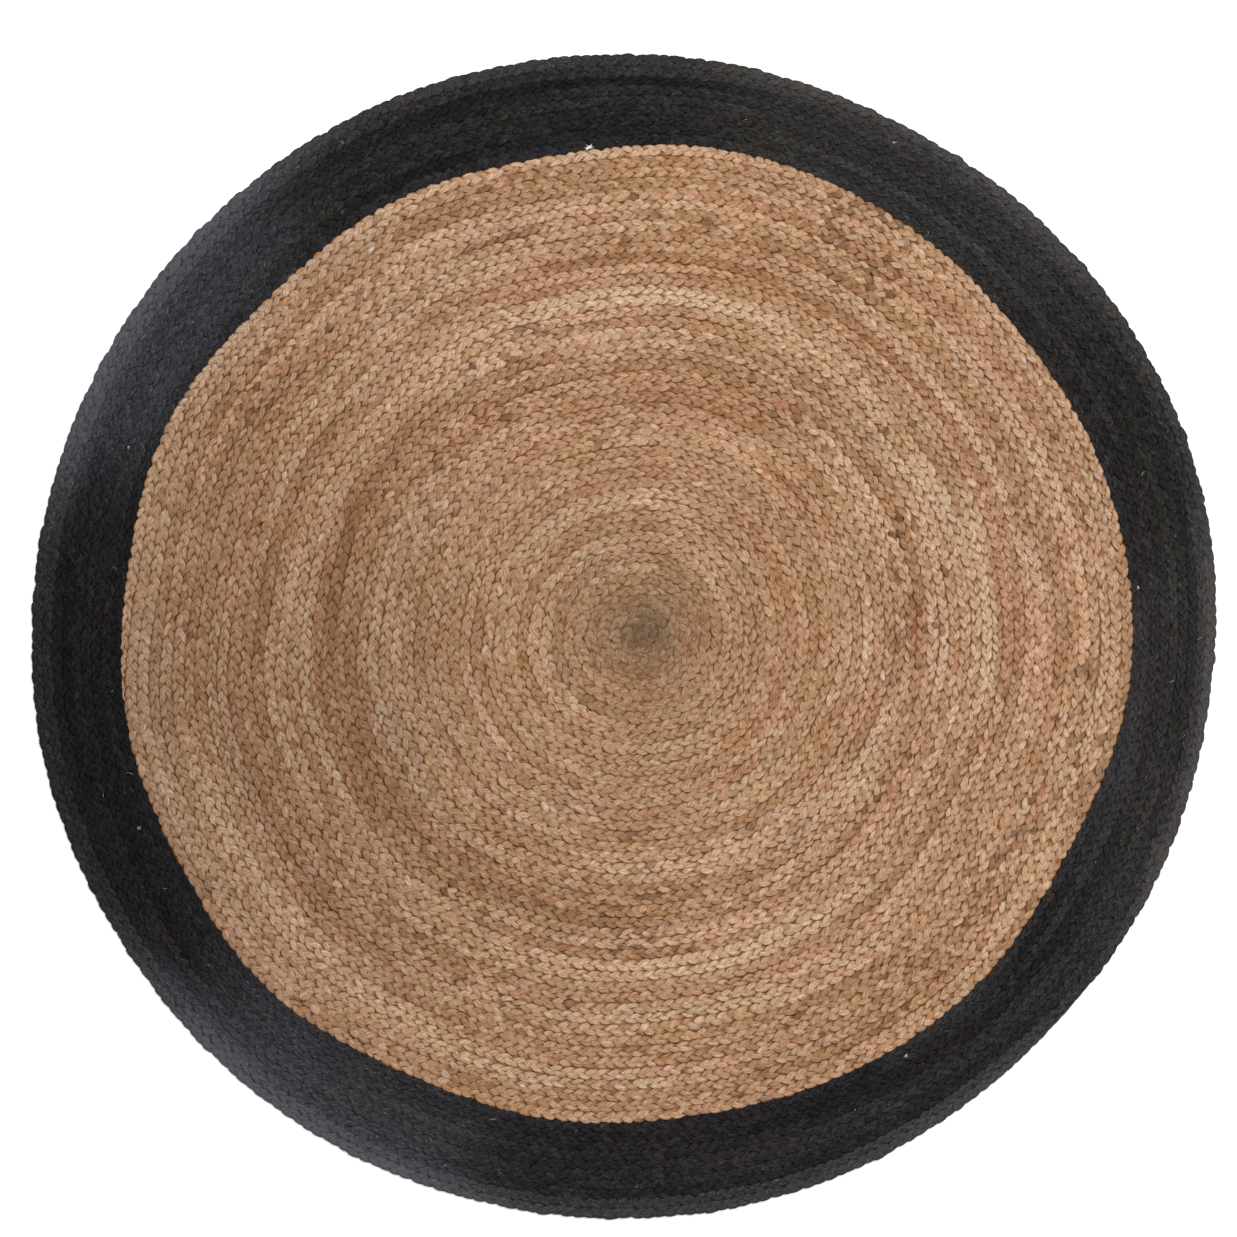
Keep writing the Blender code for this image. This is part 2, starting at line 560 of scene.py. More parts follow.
class ShadedSide(NamedTuple):
    """A side of the coil that is painted darker than the rest: painted shade, as from light that
    falls off towards that side.

    Attributes:
        bearing_deg: The bearing of its middle.
        wide_deg: How far to each side it reaches.
        share: How much darker it is.
        from_row: The row that it starts at, in braid widths from the coil's start.
        rows: The number of rows over which it sets in.
    """

    bearing_deg: float
    wide_deg: float
    share: float
    from_row: float
    rows: float = 20.0

    def cover(self, row: Array, bearing: Array) -> Array:
        """How much painted shade it lays on the fibre.

        Args:
            row: How many braid widths each place is from the coil's start.
            bearing: The bearing of each place in radians.

        Returns:
            Shares from 0 to its own.
        """
        off_side = np.angle(np.exp(1j * (bearing - math.radians(self.bearing_deg))))
        dull = self.share * np.exp(-((off_side / math.radians(self.wide_deg)) ** 2))
        return dull * soft_step((row - self.from_row) / self.rows)


class Section(NamedTuple):
    """One point of a strand's section.

    Attributes:
        across: Its place across the strand, as a share of the half width.
        up: Its place up through the strand, as a share of the half thickness.
        edge: 1 on the strand's sides, painted dark with shade and dust, and 0 or less on its top
            and bottom.
    """

    across: float
    up: float
    edge: float


class Bend(NamedTuple):
    """How a strand lies at one phase of its swing. It is the same, mirrored, half a swing later.

    Attributes:
        deg: The phase.
        swing: How far out it is, as a share of its full swing.
        height: How high it is, from -1 under the other strands to 1 over them.
        width: How wide it is, as a share of its usual width: it is pinched where it goes under.
    """

    deg: float
    swing: float
    height: float
    width: float


@dataclass(frozen=True)
class Plait:
    """How three strands are plaited, and how a strand is drawn.

    Attributes:
        period: The length in which a strand swings to one side, to the other and back, in metres.
        usual_width: The braid's width away from its ends, in metres.
        swing: How far a strand swings from the braid's middle, as a share of the braid's width.
        half_width: Half a strand's width, as a share of the braid's width.
        lift: How far a strand rises and dips from the braid's mid-height, in metres.
        half_thick: Half a strand's thickness, in metres.
        mid_height: The height of the braid's middle, in metres.
        roll_deg: How far a strand leans outwards at the braid's sides.
        rim_tuck: How much less far a strand swings out along the coil's rim.
        tightness: How much shorter its swings are at the braid's start, where it is wound tightest.
        tight_length: The length over which that wears off, in metres.
        slip: How far its leaves slip along the braid, in metres.
        slow_slip: How far the whole braid is drawn out or pushed together, in metres.
        steady_ends: The length at each of the braid's ends in which both die away, in metres.
        girth: How much the strand's girth varies, as a share.
        pulled: How much thinner it is where the braid is pulled tight, as a share.
        ripple: How much its height varies, in metres.
        leaf_slip: How far single leaves slip along the braid, in metres.
        leaf_girth: How much their girth varies, as a share.
        leaf_girths: The least and greatest girth of a leaf, as a share of the usual one.
        leaf_shift: How far they are shifted across it, in braid widths.
        leaf_rise: How far they stand out above the rest, in metres.
        leaf_lean_deg: How far they lean.
        bends: Where a strand's rings lie in half a swing, and how it lies there.
        section: The section, from its bottom over its left side and its top.
    """

    period: float
    usual_width: float
    swing: float = 0.315
    half_width: float = 0.350
    lift: float = 0.00165
    half_thick: float = 0.00250
    mid_height: float = 0.00430
    roll_deg: float = 4.0
    rim_tuck: float = 0.0
    tightness: float = 0.0
    tight_length: float = 2.5
    slip: Drift = Drift(0.050, 0.0020)
    slow_slip: Drift = Drift(0.40, 0.011)
    steady_ends: float = 0.1
    girth: Drift = Drift(0.12, 0.035)
    pulled: float = 0.045
    ripple: Drift = Drift(0.02, 0.00012)
    leaf_slip: float = 0.0018
    leaf_girth: float = 0.14
    leaf_girths: tuple[float, float] = (0.74, 1.30)
    leaf_shift: float = 0.043
    leaf_rise: float = 0.00042
    leaf_lean_deg: float = 5.0
    bends: tuple[Bend, ...] = (
        Bend(6, -0.42, -0.50, 0.80),
        Bend(36, 0.20, 0.62, 1.02),
        Bend(68, 0.70, 1.00, 1.10),
        Bend(102, 1.00, 0.72, 1.02),
        Bend(140, 0.98, -0.28, 0.90),
    )
    section: tuple[Section, ...] = (
        Section(0.0, -1.0, -0.42),
        Section(-1.0, 0.24, 1.0),
        Section(-0.48, 0.93, 0.0),
        Section(0.48, 0.93, 0.0),
        Section(1.0, 0.24, 1.0),
    )

    def lie(self, phase: Array) -> tuple[Array, Array, Array]:
        """How a strand lies.

        Args:
            phase: The strand's phases in radians.

        Returns:
            Its swing, height and width at each phase, as in Bend.
        """
        deg = np.degrees(phase)
        half = np.floor(deg / 180 + 1e-6)
        first = self.bends[0]
        mirrored = Bend(first.deg + 180, -first.swing, first.height, first.width)
        at, *rows = np.array([*self.bends, mirrored]).T
        swing, height, width = (np.interp(deg - 180 * half, at, row) for row in rows)
        return swing * np.where(half % 2 < 1, 1, -1), height, width

    def ring_phases(self, strand: int, length: float) -> Array:
        """The phases at which a strand has its rings.

        Args:
            strand: The strand's number, from 0.
            length: The braid's length in metres.

        Returns:
            Radians, in order, for rings that lie within the braid.
        """
        even_length = length + self.tightness * self.tight_length
        swings = np.arange(-2, 2 * math.ceil(even_length / self.period) + 4)
        degs = np.add.outer(swings * 180.0, [bend.deg for bend in self.bends])
        phase = np.radians(degs.ravel())
        along = self.along(phase, strand)
        return phase[(along >= 0) & (along <= length)]

    def along(self, phase: Array, strand: int) -> Array:
        """How far along the braid, in metres, a strand has its phases in radians."""
        even = (phase / FULL_TURN - strand / STRANDS) * self.period
        return even - self.tightness * self.tight_length * (1 - np.exp(-even / self.tight_length))


@dataclass(frozen=True)
class Rings:
    """The rings of one strand.

    Attributes:
        run: The braid where each ring lies.
        phase: Each ring's phase in radians.
        centre: Each ring's centre.
        sideways: The unit direction across the strand at each ring.
        upward: The unit direction up through the strand at each ring.
        half_width: Half the strand's width at each ring.
        half_thick: Half the strand's thickness at each ring.
    """

    run: Run
    phase: Array
    centre: Array
    sideways: Array
    upward: Array
    half_width: Array
    half_thick: Array

    @property
    def leaf(self) -> Array:
        """The leaf that each ring belongs to, from 0: one for each time the strand comes up."""
        leaf = np.floor(self.phase / math.pi + 1e-6).astype(int)
        return leaf - leaf.min()


def by_leaf(rng: Rng, phase: Array) -> Array:
    """Random values, one for each leaf of a strand, with an even change from leaf to leaf.

    Args:
        rng: The seeded source of chance.
        phase: The strand's phases in radians.

    Returns:
        A value for each phase, about 0 and with a spread of about 1.
    """
    place = phase / math.pi - 1 / 3
    knots = np.arange(math.floor(place.min()), math.ceil(place.max()) + 1)
    return np.interp(place, knots, np.clip(rng.standard_normal(len(knots)), -2.4, 2.4))


def lay_strand(plait: Plait, run: Run, strand: int, seed: int) -> Rings:
    """Lays one strand along a braid.

    Args:
        plait: How the braid is plaited.
        run: The braid's middle line.
        strand: The strand's number, from 0.
        seed: The seed of its unevenness, the same for the braid's three strands.

    Returns:
        The strand's rings.
    """
    shared, own = np.random.default_rng(seed), np.random.default_rng(seed + 100 + strand)
    phase = plait.ring_phases(strand, run.length)
    along = plait.along(phase, strand)
    loose = soft_step(along / plait.steady_ends)
    loose *= soft_step((run.length - along) / plait.steady_ends)
    slip = plait.slip.along(shared, along + 1) + by_leaf(own, phase) * plait.leaf_slip
    slip += plait.slow_slip.along(np.random.default_rng(seed + 50), along + 1)
    here = run.at(np.clip(along + slip * loose, 0, run.length))
    thin_up = np.sqrt(np.clip(here.width / plait.usual_width, THINNEST_SHARE, 1))
    swing, top, width = plait.lie(phase)
    plump = np.clip(1 + plait.leaf_girth * by_leaf(own, phase), *plait.leaf_girths)
    pull = np.clip(arc_drift(shared, here.turn, here.bearing, rows=1.4, arc_deg=22), -1, 2)
    plump *= 1 + plait.girth.along(shared, along) - plait.pulled * pull
    off_side = here.width * (plait.swing * swing + plait.leaf_shift * by_leaf(own, phase))
    last_turn = soft_step((here.turn - run.turn[-1] + 1) / TAPER_TURNS)
    off_side *= 1 - plait.rim_tuck * last_turn * np.clip(swing, 0, 1)
    proud = plait.leaf_rise * by_leaf(own, phase) * np.clip(top, 0, 1)
    height = plait.mid_height + plait.lift * thin_up * top + proud + plait.ripple.along(own, along)
    middle = here.middle + here.outward * off_side[:, None]
    centre = np.concatenate([middle, height[:, None]], axis=1)
    ahead = unit(np.gradient(centre, axis=0))
    level = unit(np.stack([ahead[:, 1], -ahead[:, 0], np.zeros(len(ahead))], axis=1))
    plumb = np.cross(level, ahead)
    lean = np.radians(plait.roll_deg * swing + plait.leaf_lean_deg * by_leaf(own, phase))[:, None]
    return Rings(
        run=here,
        phase=phase,
        centre=centre,
        sideways=level * np.cos(lean) - plumb * np.sin(lean),
        upward=plumb * np.cos(lean) + level * np.sin(lean),
        half_width=here.width * plait.half_width * plump * width,
        half_thick=plait.half_thick * thin_up * np.sqrt(plump),
    )


@dataclass(frozen=True)
class Tint:
    """How a coil's fibre is coloured.

    Attributes:
        base: The usual fibre.
        streaks: Runs of other fibre, and on the black coil patches of painted glare.
        seed: The seed of the drift.
        depth: How strongly the tone varies.
        fade: How much each channel follows the tone. Darker jute is also richer in colour.
        pinkness: How strongly the colour drifts between pink and olive.
        warmth: How strongly it drifts between yellow and blue.
        shaded_side: The side that is painted darker, as painted shade.
        soiled: Whether the middle of the coil is soiled.
        specks: How much dark and rusty fibre is scattered in it.
        rim_glare: How much pale glare is painted on the outermost rows, as a painted highlight
            along the rim.
    """

    base: Fibre
    streaks: tuple[Streak, ...]
    seed: int
    depth: float
    fade: Colour
    pinkness: float
    warmth: float
    shaded_side: ShadedSide
    soiled: bool
    specks: float
    rim_glare: float

    def paint(self, rings: Rings, strand: int) -> Array:
        """Colours a strand ring by ring.

        Args:
            rings: The strand's rings.
            strand: The strand's number, from 0.

        Returns:
            Linear red, green and blue for each ring.
        """
        shared = np.random.default_rng(self.seed)
        own = np.random.default_rng(self.seed + 10 + strand)
        leaf, run = rings.leaf, rings.run
        row, bearing, leaves = run.turn + 0.5, run.bearing, leaf.max() + 1
        worn = trodden(rings.centre)
        tone = (
            0.50 * arc_drift(shared, row, bearing, rows=1.0, arc_deg=30)
            + 0.24 * arc_drift(shared, row, bearing, rows=4.0, arc_deg=40)
            + 0.30 * arc_drift(shared, row, bearing, rows=0.9, arc_deg=72)
            + 0.45 * wander(shared, run.along, pitch=0.30)
            + 0.45 * wander(own, run.along, pitch=0.05)
            + 0.58 * own.standard_normal(leaves)[leaf]
        ) * (1 - TRODDEN_TONE * worn)
        pink = (
            0.45 * arc_drift(shared, row, bearing, rows=1.2, arc_deg=20)
            + 0.4 * wander(shared, run.along, pitch=0.22)
            + 0.6 * wander(own, run.along, pitch=0.07)
            + 0.5 * own.standard_normal(leaves)[leaf]
        )
        warm = (
            0.45 * arc_drift(shared, row, bearing, rows=1.6, arc_deg=18)
            + 0.5 * wander(own, run.along, pitch=0.12)
            + 0.5 * own.standard_normal(leaves)[leaf]
        )
        lean = np.outer(pink * self.pinkness, (2, -1, -1))
        lean += np.outer(warm * self.warmth, (1, 1, -2))
        shade = np.outer(self.depth * np.clip(tone, -2.6, 1.8), self.fade)
        colour = np.array(self.base.value) * np.exp(lean / 3 + shade)
        # Painted highlight: the outermost rows are painted paler, as glare along the rim.
        rim_glare = self.rim_glare * soft_step(1 - (row.max() - row) / 2.6)
        colour = mix(colour, Fibre.DUST_AND_GLARE, rim_glare)
        # Painted shade: one side of the coil is painted darker, as light falling off towards it.
        colour *= (1 - self.shaded_side.cover(row, bearing))[:, None]
        odd_fibre = wander(own, run.along, pitch=0.020)
        odd_fibre += 0.5 * arc_drift(shared, row, bearing, rows=5.0, arc_deg=15)
        specks = self.specks * (1 - TRODDEN_SPECKS * worn)
        colour = self.speckle(colour, odd_fibre, specks, leaf, own)
        # Runs of other fibre, and on the black coil patches of painted glare.
        for streak in self.streaks:
            ragged = 0.65 + 0.45 * own.random(leaves)[leaf]
            colour = mix(colour, streak.fibre, streak.cover(rings.centre) * ragged)
        if self.soiled:
            colour = self.soil(colour, rings.centre)
        return colour

    def speckle(
        self, colour: Array, odd_fibre: Array, specks: Array, leaf: Array, rng: Rng
    ) -> Array:
        """Scatters dark and rusty fibre, and a few leaves of it.

        Args:
            colour: A colour for each ring.
            odd_fibre: Where the fibre is odd: dark where it is high, rusty where it is low.
            specks: How much dark fibre each ring may have.
            leaf: The leaf that each ring belongs to.
            rng: The seeded source of chance.

        Returns:
            The colours with the specks in them.
        """
        brown = specks * np.clip((odd_fibre - 1.75) / 0.7, 0, 0.85)
        dark = specks * np.clip((odd_fibre - 2.4) / 0.6, 0, 0.75)
        rusty = self.specks * np.clip((-odd_fibre - 2.1) / 1.3, 0, 0.7)
        colour = mix(colour, Fibre.BROWN, brown)
        colour = mix(colour, Fibre.DARK, dark * rng.uniform(0.4, 1.1, len(leaf)))
        colour = mix(colour, Fibre.RUST, rusty)
        leaves = leaf.max() + 1
        knots = np.clip((rng.random(leaves) - 0.986) / 0.006, 0, 1) * rng.uniform(0.4, 0.95, leaves)
        return mix(colour, Fibre.BROWN, specks * knots[leaf] * rng.uniform(0.5, 1.1, len(leaf)))

    @staticmethod
    def soil(colour: Array, points: Array) -> Array:
        """Greys and darkens the colours of places in the trodden middle of the coil."""
        soil = sum(patch.cover(points) for patch in SOILED)
        return colour * (1 - soil[:, None] * np.array(SOIL_DEPTH))


NOISE_RANGE = (0.3, 0.7)  # where the values of smooth noise mostly lie


class NodeTree:
    """Short ways to add the nodes that the finishes share."""

    def __init__(self, tree: bpy.types.NodeTree) -> None:
        """Wraps a material's node tree."""
        self.tree = tree

    def link(self, source: Socket, target: Socket) -> None:
        """Joins two sockets."""
        self.tree.links.new(source, target)

    def node(self, kind: str, **settings: object) -> bpy.types.Node:
        """Adds a node.

        Args:
            kind: Its type.
            **settings: Its inputs by name, and its own properties. A socket is linked, and anything
                else is set.

        Returns:
            The node.
        """
        node = self.tree.nodes.new(kind)
        for name, value in settings.items():
            if name not in node.inputs:
                setattr(node, name, value)
            elif isinstance(value, Socket):
                self.link(value, node.inputs[name])
            else:
                node.inputs[name].default_value = value
        return node

    def maths(self, operation: str, first: object, second: object = 0.0) -> Socket:
        """Works out a number from one or two others.

        Args:
            operation: The sum's name.
            first: A socket or a number.
            second: A socket or a number.

        Returns:
            The result's socket.
        """
        node = self.node("ShaderNodeMath", operation=operation)
        for socket, value in zip(node.inputs, (first, second)):
            if isinstance(value, Socket):
                self.link(value, socket)
            else:
                socket.default_value = value
        return node.outputs["Value"]

    def scaled(self, value: Socket, by: float) -> Socket:
        """Scales a number."""
        return self.maths("MULTIPLY", value, by)

    def attribute(self, name: str, output: str = "Fac") -> Socket:
        """Reads an attribute of the mesh."""
        return self.node("ShaderNodeAttribute", attribute_name=name).outputs[output]

    def parts(self, vector: Socket) -> bpy.types.NodeOutputs:
        """Takes a vector apart into X, Y and Z."""
        return self.node("ShaderNodeSeparateXYZ", Vector=vector).outputs

    def noise(self, vector: Socket, scale: float, detail: float) -> Socket:
        """Reads smooth noise, which is mostly between 0.3 and 0.7."""
        settings = {"Vector": vector, "Scale": scale, "Detail": detail, "Roughness": 0.55}
        return self.node("ShaderNodeTexNoise", **settings).outputs["Fac"]

    def grain(
        self,
        along: Socket,
        around: Socket,
        fineness: tuple[float, float],
        detail: float,
        scale: float = 1.0,
    ) -> Socket:
        """Reads smooth noise that is drawn out along a strand.

        Args:
            along: Metres along the strand.
            around: Metres around it.
            fineness: How fine the noise is along it and around it.
            detail: How many finer layers it has.
            scale: How fine it is both ways, as a multiple.

        Returns:
            A number that is mostly between 0.3 and 0.7.
        """
        x, y = (self.scaled(value, by) for value, by in zip((along, around), fineness))
        place = self.node("ShaderNodeCombineXYZ", X=x, Y=y).outputs["Vector"]
        return self.noise(place, scale, detail)

    def ranged(
        self, value: Socket, low: float, high: float, to_low: float, to_high: float
    ) -> Socket:
        """Maps numbers from low to high on to those from to_low to to_high, and none beyond."""
        settings = {"From Min": low, "From Max": high, "To Min": to_low, "To Max": to_high}
        return self.node("ShaderNodeMapRange", Value=value, **settings).outputs["Result"]

    def varied(self, noise: Socket, by: float, mid: float = 1.0) -> Socket:
        """Turns noise into numbers from mid less by to mid plus by."""
        return self.ranged(noise, *NOISE_RANGE, mid - by, mid + by)


def new_material(name: str) -> tuple[bpy.types.Material, NodeTree, bpy.types.Node]:
    """Starts a material.

    Args:
        name: Its name.

    Returns:
        The material, its node tree and its shader.
    """
    material = bpy.data.materials.new(name)
    material.use_nodes = True
    shader = material.node_tree.nodes["Principled BSDF"]
    return material, NodeTree(material.node_tree), shader


@dataclass(frozen=True)
class JuteFinish:
    """A finish of braided jute: fibres that run along the strand, creases painted dark with shade
    and dust, painted glints and a faint sheen.

    Attributes:
        name: The material's name.
        roughness: How rough the fibre is.
        sheen: The weight of its sheen.
        specular: The level of its gloss.
        fibre_contrast: How much lighter and darker single fibres are.
        pale_fibres: How much lighter the palest single fibres are, as a multiple.
        crease: How dark the fibre is painted between the leaves, as a share: painted shade with
            dust.
        relief: How far the fibres stand out, in metres.
        fade: How much each channel follows the light and dark, as in Tint.
        joint: How dark the joint between two rows is painted, as a share: painted shade in the gap.
        deep: How dark the fibre is deep inside the braid, as a share: painted shade, darkest at the
            braid's mid-height.
        mottle: How much lighter and darker small patches are.
        glints: How much lighter the palest small patches are painted, as a multiple: painted
            glints.
        glare_red: How red the fibre's colour is where painted glare lies on it and evens the light
            and dark out, or 0 where there is none.
        fineness: How fine the small patches are, as a multiple.
        ply: The width of the plies that a strand is made of, in metres.
        groove: How dark it is painted between them, as a share: painted shade between the plies.
        twist: How far the fibres run around the strand for each metre along it.
        mid_z: The height of the middle of the braid, in metres.
    """

    name: str
    roughness: float
    sheen: float
    specular: float
    fibre_contrast: float
    pale_fibres: float
    crease: float
    relief: float
    fade: Colour
    joint: float
    deep: float
    mottle: float
    glints: float = 1.12
    glare_red: float = 0.0
    fineness: float = 1.0
    ply: float = 0.0026
    groove: float = 0.86
    twist: float = 0.22
    mid_z: float = 0.0034

    def material(self) -> bpy.types.Material:
        """Builds the finish's node tree.

        Returns:
            The material.
        """
        material, tree, shader = new_material(self.name)
        run = tree.parts(tree.node("ShaderNodeUVMap", uv_map="fibre_run").outputs["UV"])
        along, around = run["X"], run["Y"]
        twisted = tree.maths("ADD", around, tree.scaled(along, self.twist))
        fine = tree.grain(along, twisted, (70, 2600), 2.0)
        coarse = tree.grain(along, twisted, (60, 620), 3.0)
        clumps = tree.grain(along, around, (210, 380), 2.0, self.fineness)
        glint = tree.grain(along, around, (330, 470), 0.0, self.fineness)
        stray = tree.scaled(tree.grain(along, around, (60, 150), 1.0), 7.0)
        plies = tree.maths("ADD", tree.scaled(twisted, FULL_TURN / self.ply), stray)
        wave = tree.maths("ABSOLUTE", tree.maths("COSINE", tree.scaled(plies, 0.5)))
        groove = tree.maths("POWER", wave, 3.0)
        ragged = tree.maths("ADD", tree.attribute("edge"), tree.varied(coarse, 0.12, 0.0))
        place = tree.parts(tree.node("ShaderNodeNewGeometry").outputs["Position"])
        off_mid = tree.maths("ABSOLUTE", tree.maths("SUBTRACT", place["Z"], self.mid_z))
        light = tree.varied(coarse, self.fibre_contrast)
        for share in (
            tree.varied(fine, self.fibre_contrast * 0.7),
            tree.varied(clumps, self.mottle),
            # Painted glints: the palest small patches are painted lighter.
            tree.ranged(glint, 0.60, 0.74, 1.0, self.glints),
            tree.ranged(fine, 0.64, 0.76, 1.0, self.pale_fibres),
            # Painted shade with dust: the leaves' sides and the creases between them are darkened.
            tree.ranged(ragged, 0.14, 0.88, 1.03, self.crease),
            # Painted shade between the plies.
            tree.ranged(groove, 0.0, 1.0, 1.03, self.groove),
            # Painted shade in the joint between two rows.
            tree.ranged(tree.attribute("off_line"), 0.465, 0.505, 1.0, self.joint),
            # Painted shade deep inside the braid, darkest at its mid-height.
            tree.ranged(off_mid, 0.0001, self.mid_z, self.deep, 1.0),
        ):
            light = tree.maths("MULTIPLY", light, share)
        tint = tree.attribute("tint", "Vector")
        # Painted glare: its veil evens the light and dark out.
        if self.glare_red:
            light = self.veil_under_glare(tree, tint, light)
        channels = zip("XYZ", (tree.maths("POWER", light, exponent) for exponent in self.fade))
        faded = tree.node("ShaderNodeCombineXYZ", **dict(channels)).outputs["Vector"]
        colour = tree.node("ShaderNodeVectorMath", operation="MULTIPLY")
        tree.link(tint, colour.inputs[0])
        tree.link(faded, colour.inputs[1])
        tree.link(colour.outputs["Vector"], shader.inputs["Base Color"])
        rough = tree.ranged(clumps, *NOISE_RANGE, self.roughness - 0.07, self.roughness + 0.09)
        tree.link(rough, shader.inputs["Roughness"])
        fibres = tree.maths("ADD", tree.scaled(coarse, 0.5), tree.scaled(fine, 0.2))
        ridges = tree.maths("SUBTRACT", fibres, tree.scaled(groove, 0.35))
        bump = tree.node("ShaderNodeBump", Strength=0.8, Distance=self.relief, Height=ridges)
        tree.link(bump.outputs["Normal"], shader.inputs["Normal"])
        shader.inputs["Sheen Weight"].default_value = self.sheen
        shader.inputs["Sheen Roughness"].default_value = 0.5
        shader.inputs["Specular IOR Level"].default_value = self.specular
        return material

    def veil_under_glare(self, tree: NodeTree, tint: Socket, light: Socket) -> Socket:
        """Evens the light and dark out where painted glare lies on the fibre, as a veil of glare
        does.

        Args:
            tree: The finish's node tree.
            tint: The fibre's colour.
            light: The light and dark, about 1.

        Returns:
            The light and dark, nearer to 1 where the colour holds painted glare.
        """
        red = tree.parts(tint)["X"]
        plain = tree.ranged(red, 0.4 * self.glare_red, 1.4 * self.glare_red, 0.0, 0.75)
        missing = tree.maths("SUBTRACT", 1.0, light)
        return tree.maths("ADD", light, tree.maths("MULTIPLY", missing, plain))


@dataclass(frozen=True)
class HeartFinish:
    """The packed fibre inside a braid, coloured darker than the strands' fibre: painted shade where
    it shows in the gaps.

    Attributes:
        name: The material's name.
        fibre: Its fibre.
        share: How dark it is, as a share of the fibre's colour.
    """

    name: str
    fibre: Fibre
    share: float

    def material(self) -> bpy.types.Material:
        """Builds the finish's node tree.

        Returns:
            The material.
        """
        material, tree, shader = new_material(self.name)
        fibres = tree.noise(tree.node("ShaderNodeTexCoord").outputs["Object"], 900.0, 4.0)
        tint = tree.attribute("tint", "Vector")
        colour = tree.node("ShaderNodeVectorMath", operation="SCALE", Vector=tint)
        tree.link(tree.ranged(fibres, 0.35, 0.65, 0.6, 1.0), colour.inputs["Scale"])
        tree.link(colour.outputs["Vector"], shader.inputs["Base Color"])
        tree.link(tree.ranged(fibres, *NOISE_RANGE, 0.85, 1.0), shader.inputs["Roughness"])
        bump = tree.node("ShaderNodeBump", Strength=0.7, Distance=0.0004, Height=fibres)
        tree.link(bump.outputs["Normal"], shader.inputs["Normal"])
        shader.inputs["Specular IOR Level"].default_value = 0.2
        return material


def add_object(data: bpy.types.ID) -> bpy.types.Object:
    """Puts a mesh, a light or a camera into the scene, as an object of the same name.

    Args:
        data: The mesh, light or camera.

    Returns:
        The object.
    """
    thing = bpy.data.objects.new(data.name, data)
    bpy.context.scene.collection.objects.link(thing)
    return thing


def write_attribute(mesh: bpy.types.Mesh, name: str, values: Array) -> None:
    """Stores a number or a colour for each vertex.

    Args:
        mesh: The mesh.
        name: The attribute's name.
        values: One row or one number for each vertex.
    """
    kind, field = ("FLOAT_VECTOR", "vector") if values.ndim == 2 else ("FLOAT", "value")
    layer = mesh.attributes.new(name, kind, "POINT")
    layer.data.foreach_set(field, values.astype(np.float32).ravel())


@dataclass(frozen=True)
class Skin:
    """The skin of some tubes.

    Attributes:
        points: The vertices.
        faces: The four corners of each side face.
        caps: The corners of each end face.
        run: Metres along and around the tube, for the corners of the side faces.
        chart: Places in the unit square for the corners of the side faces, and then of the end
            faces, as a flat map of the skin.
        attributes: Values for each vertex, by name.
    """

    points: Array
    faces: Array
    caps: Array
    run: Array
    chart: Array
    attributes: dict[str, Array]

    def build(self, name: str) -> bpy.types.Object:
        """Makes the mesh.

        Args:
            name: The piece's name.

        Returns:
            The object.
        """
        mesh = bpy.data.meshes.new(name)
        quads, (caps, cap_sides) = len(self.faces), self.caps.shape
        corners = np.concatenate([self.faces.ravel(), self.caps.ravel()])
        starts = np.concatenate([np.arange(quads) * 4, quads * 4 + np.arange(caps) * cap_sides])
        mesh.vertices.add(len(self.points))
        mesh.vertices.foreach_set("co", self.points.astype(np.float32).ravel())
        mesh.loops.add(len(corners))
        mesh.loops.foreach_set("vertex_index", corners.astype(np.int32))
        mesh.polygons.add(len(starts))
        mesh.polygons.foreach_set("loop_start", starts.astype(np.int32))
        mesh.polygons.foreach_set("use_smooth", np.ones(len(starts), bool))
        mesh.update(calc_edges=True)
        run = np.concatenate([self.run, np.zeros((self.caps.size, 2))])
        for layer, places in (("fibre_run", run), ("OFBake", self.chart)):
            uv = mesh.uv_layers.new(name=layer)
            uv.data.foreach_set("uv", places.astype(np.float32).ravel())
        mesh.validate()
        for attribute, values in self.attributes.items():
            write_attribute(mesh, attribute, values)
        return add_object(mesh)


# Painted shade with dust on the leaves: a strand's top is painted darker where it dips under the
# others, and lighter where it comes out on top.
CREASE_MID = 0.40  # how near to the crease a strand's top and bottom are at mid-height
CREASE_RISE = 0.48  # how much farther from it they are where the strand comes out
CREASE_LIMITS = (-0.5, 1)
# Painted shade in the joint between rows, which shows dark in places.
JOINT_SEED = 5  # for where the joint between rows shows dark
JOINT_USUAL = -0.010  # how far beyond the rows' sides the joint usually shows, in braid widths
JOINT_VARIES = 0.022  # how much that varies
JOINT_LIMITS = (-0.045, 0.03)
JOINT_MATTED = 0.1  # how far it closes up where the braid is matted
COLUMN_SHAPE = 0.8453  # sets the number of columns that a strand's skin is laid out in


class Turns(Enum):
    """Which turns of a coil a piece of strand holds. The two halves keep each mesh small."""

    ODD = 1
    EVEN = 0


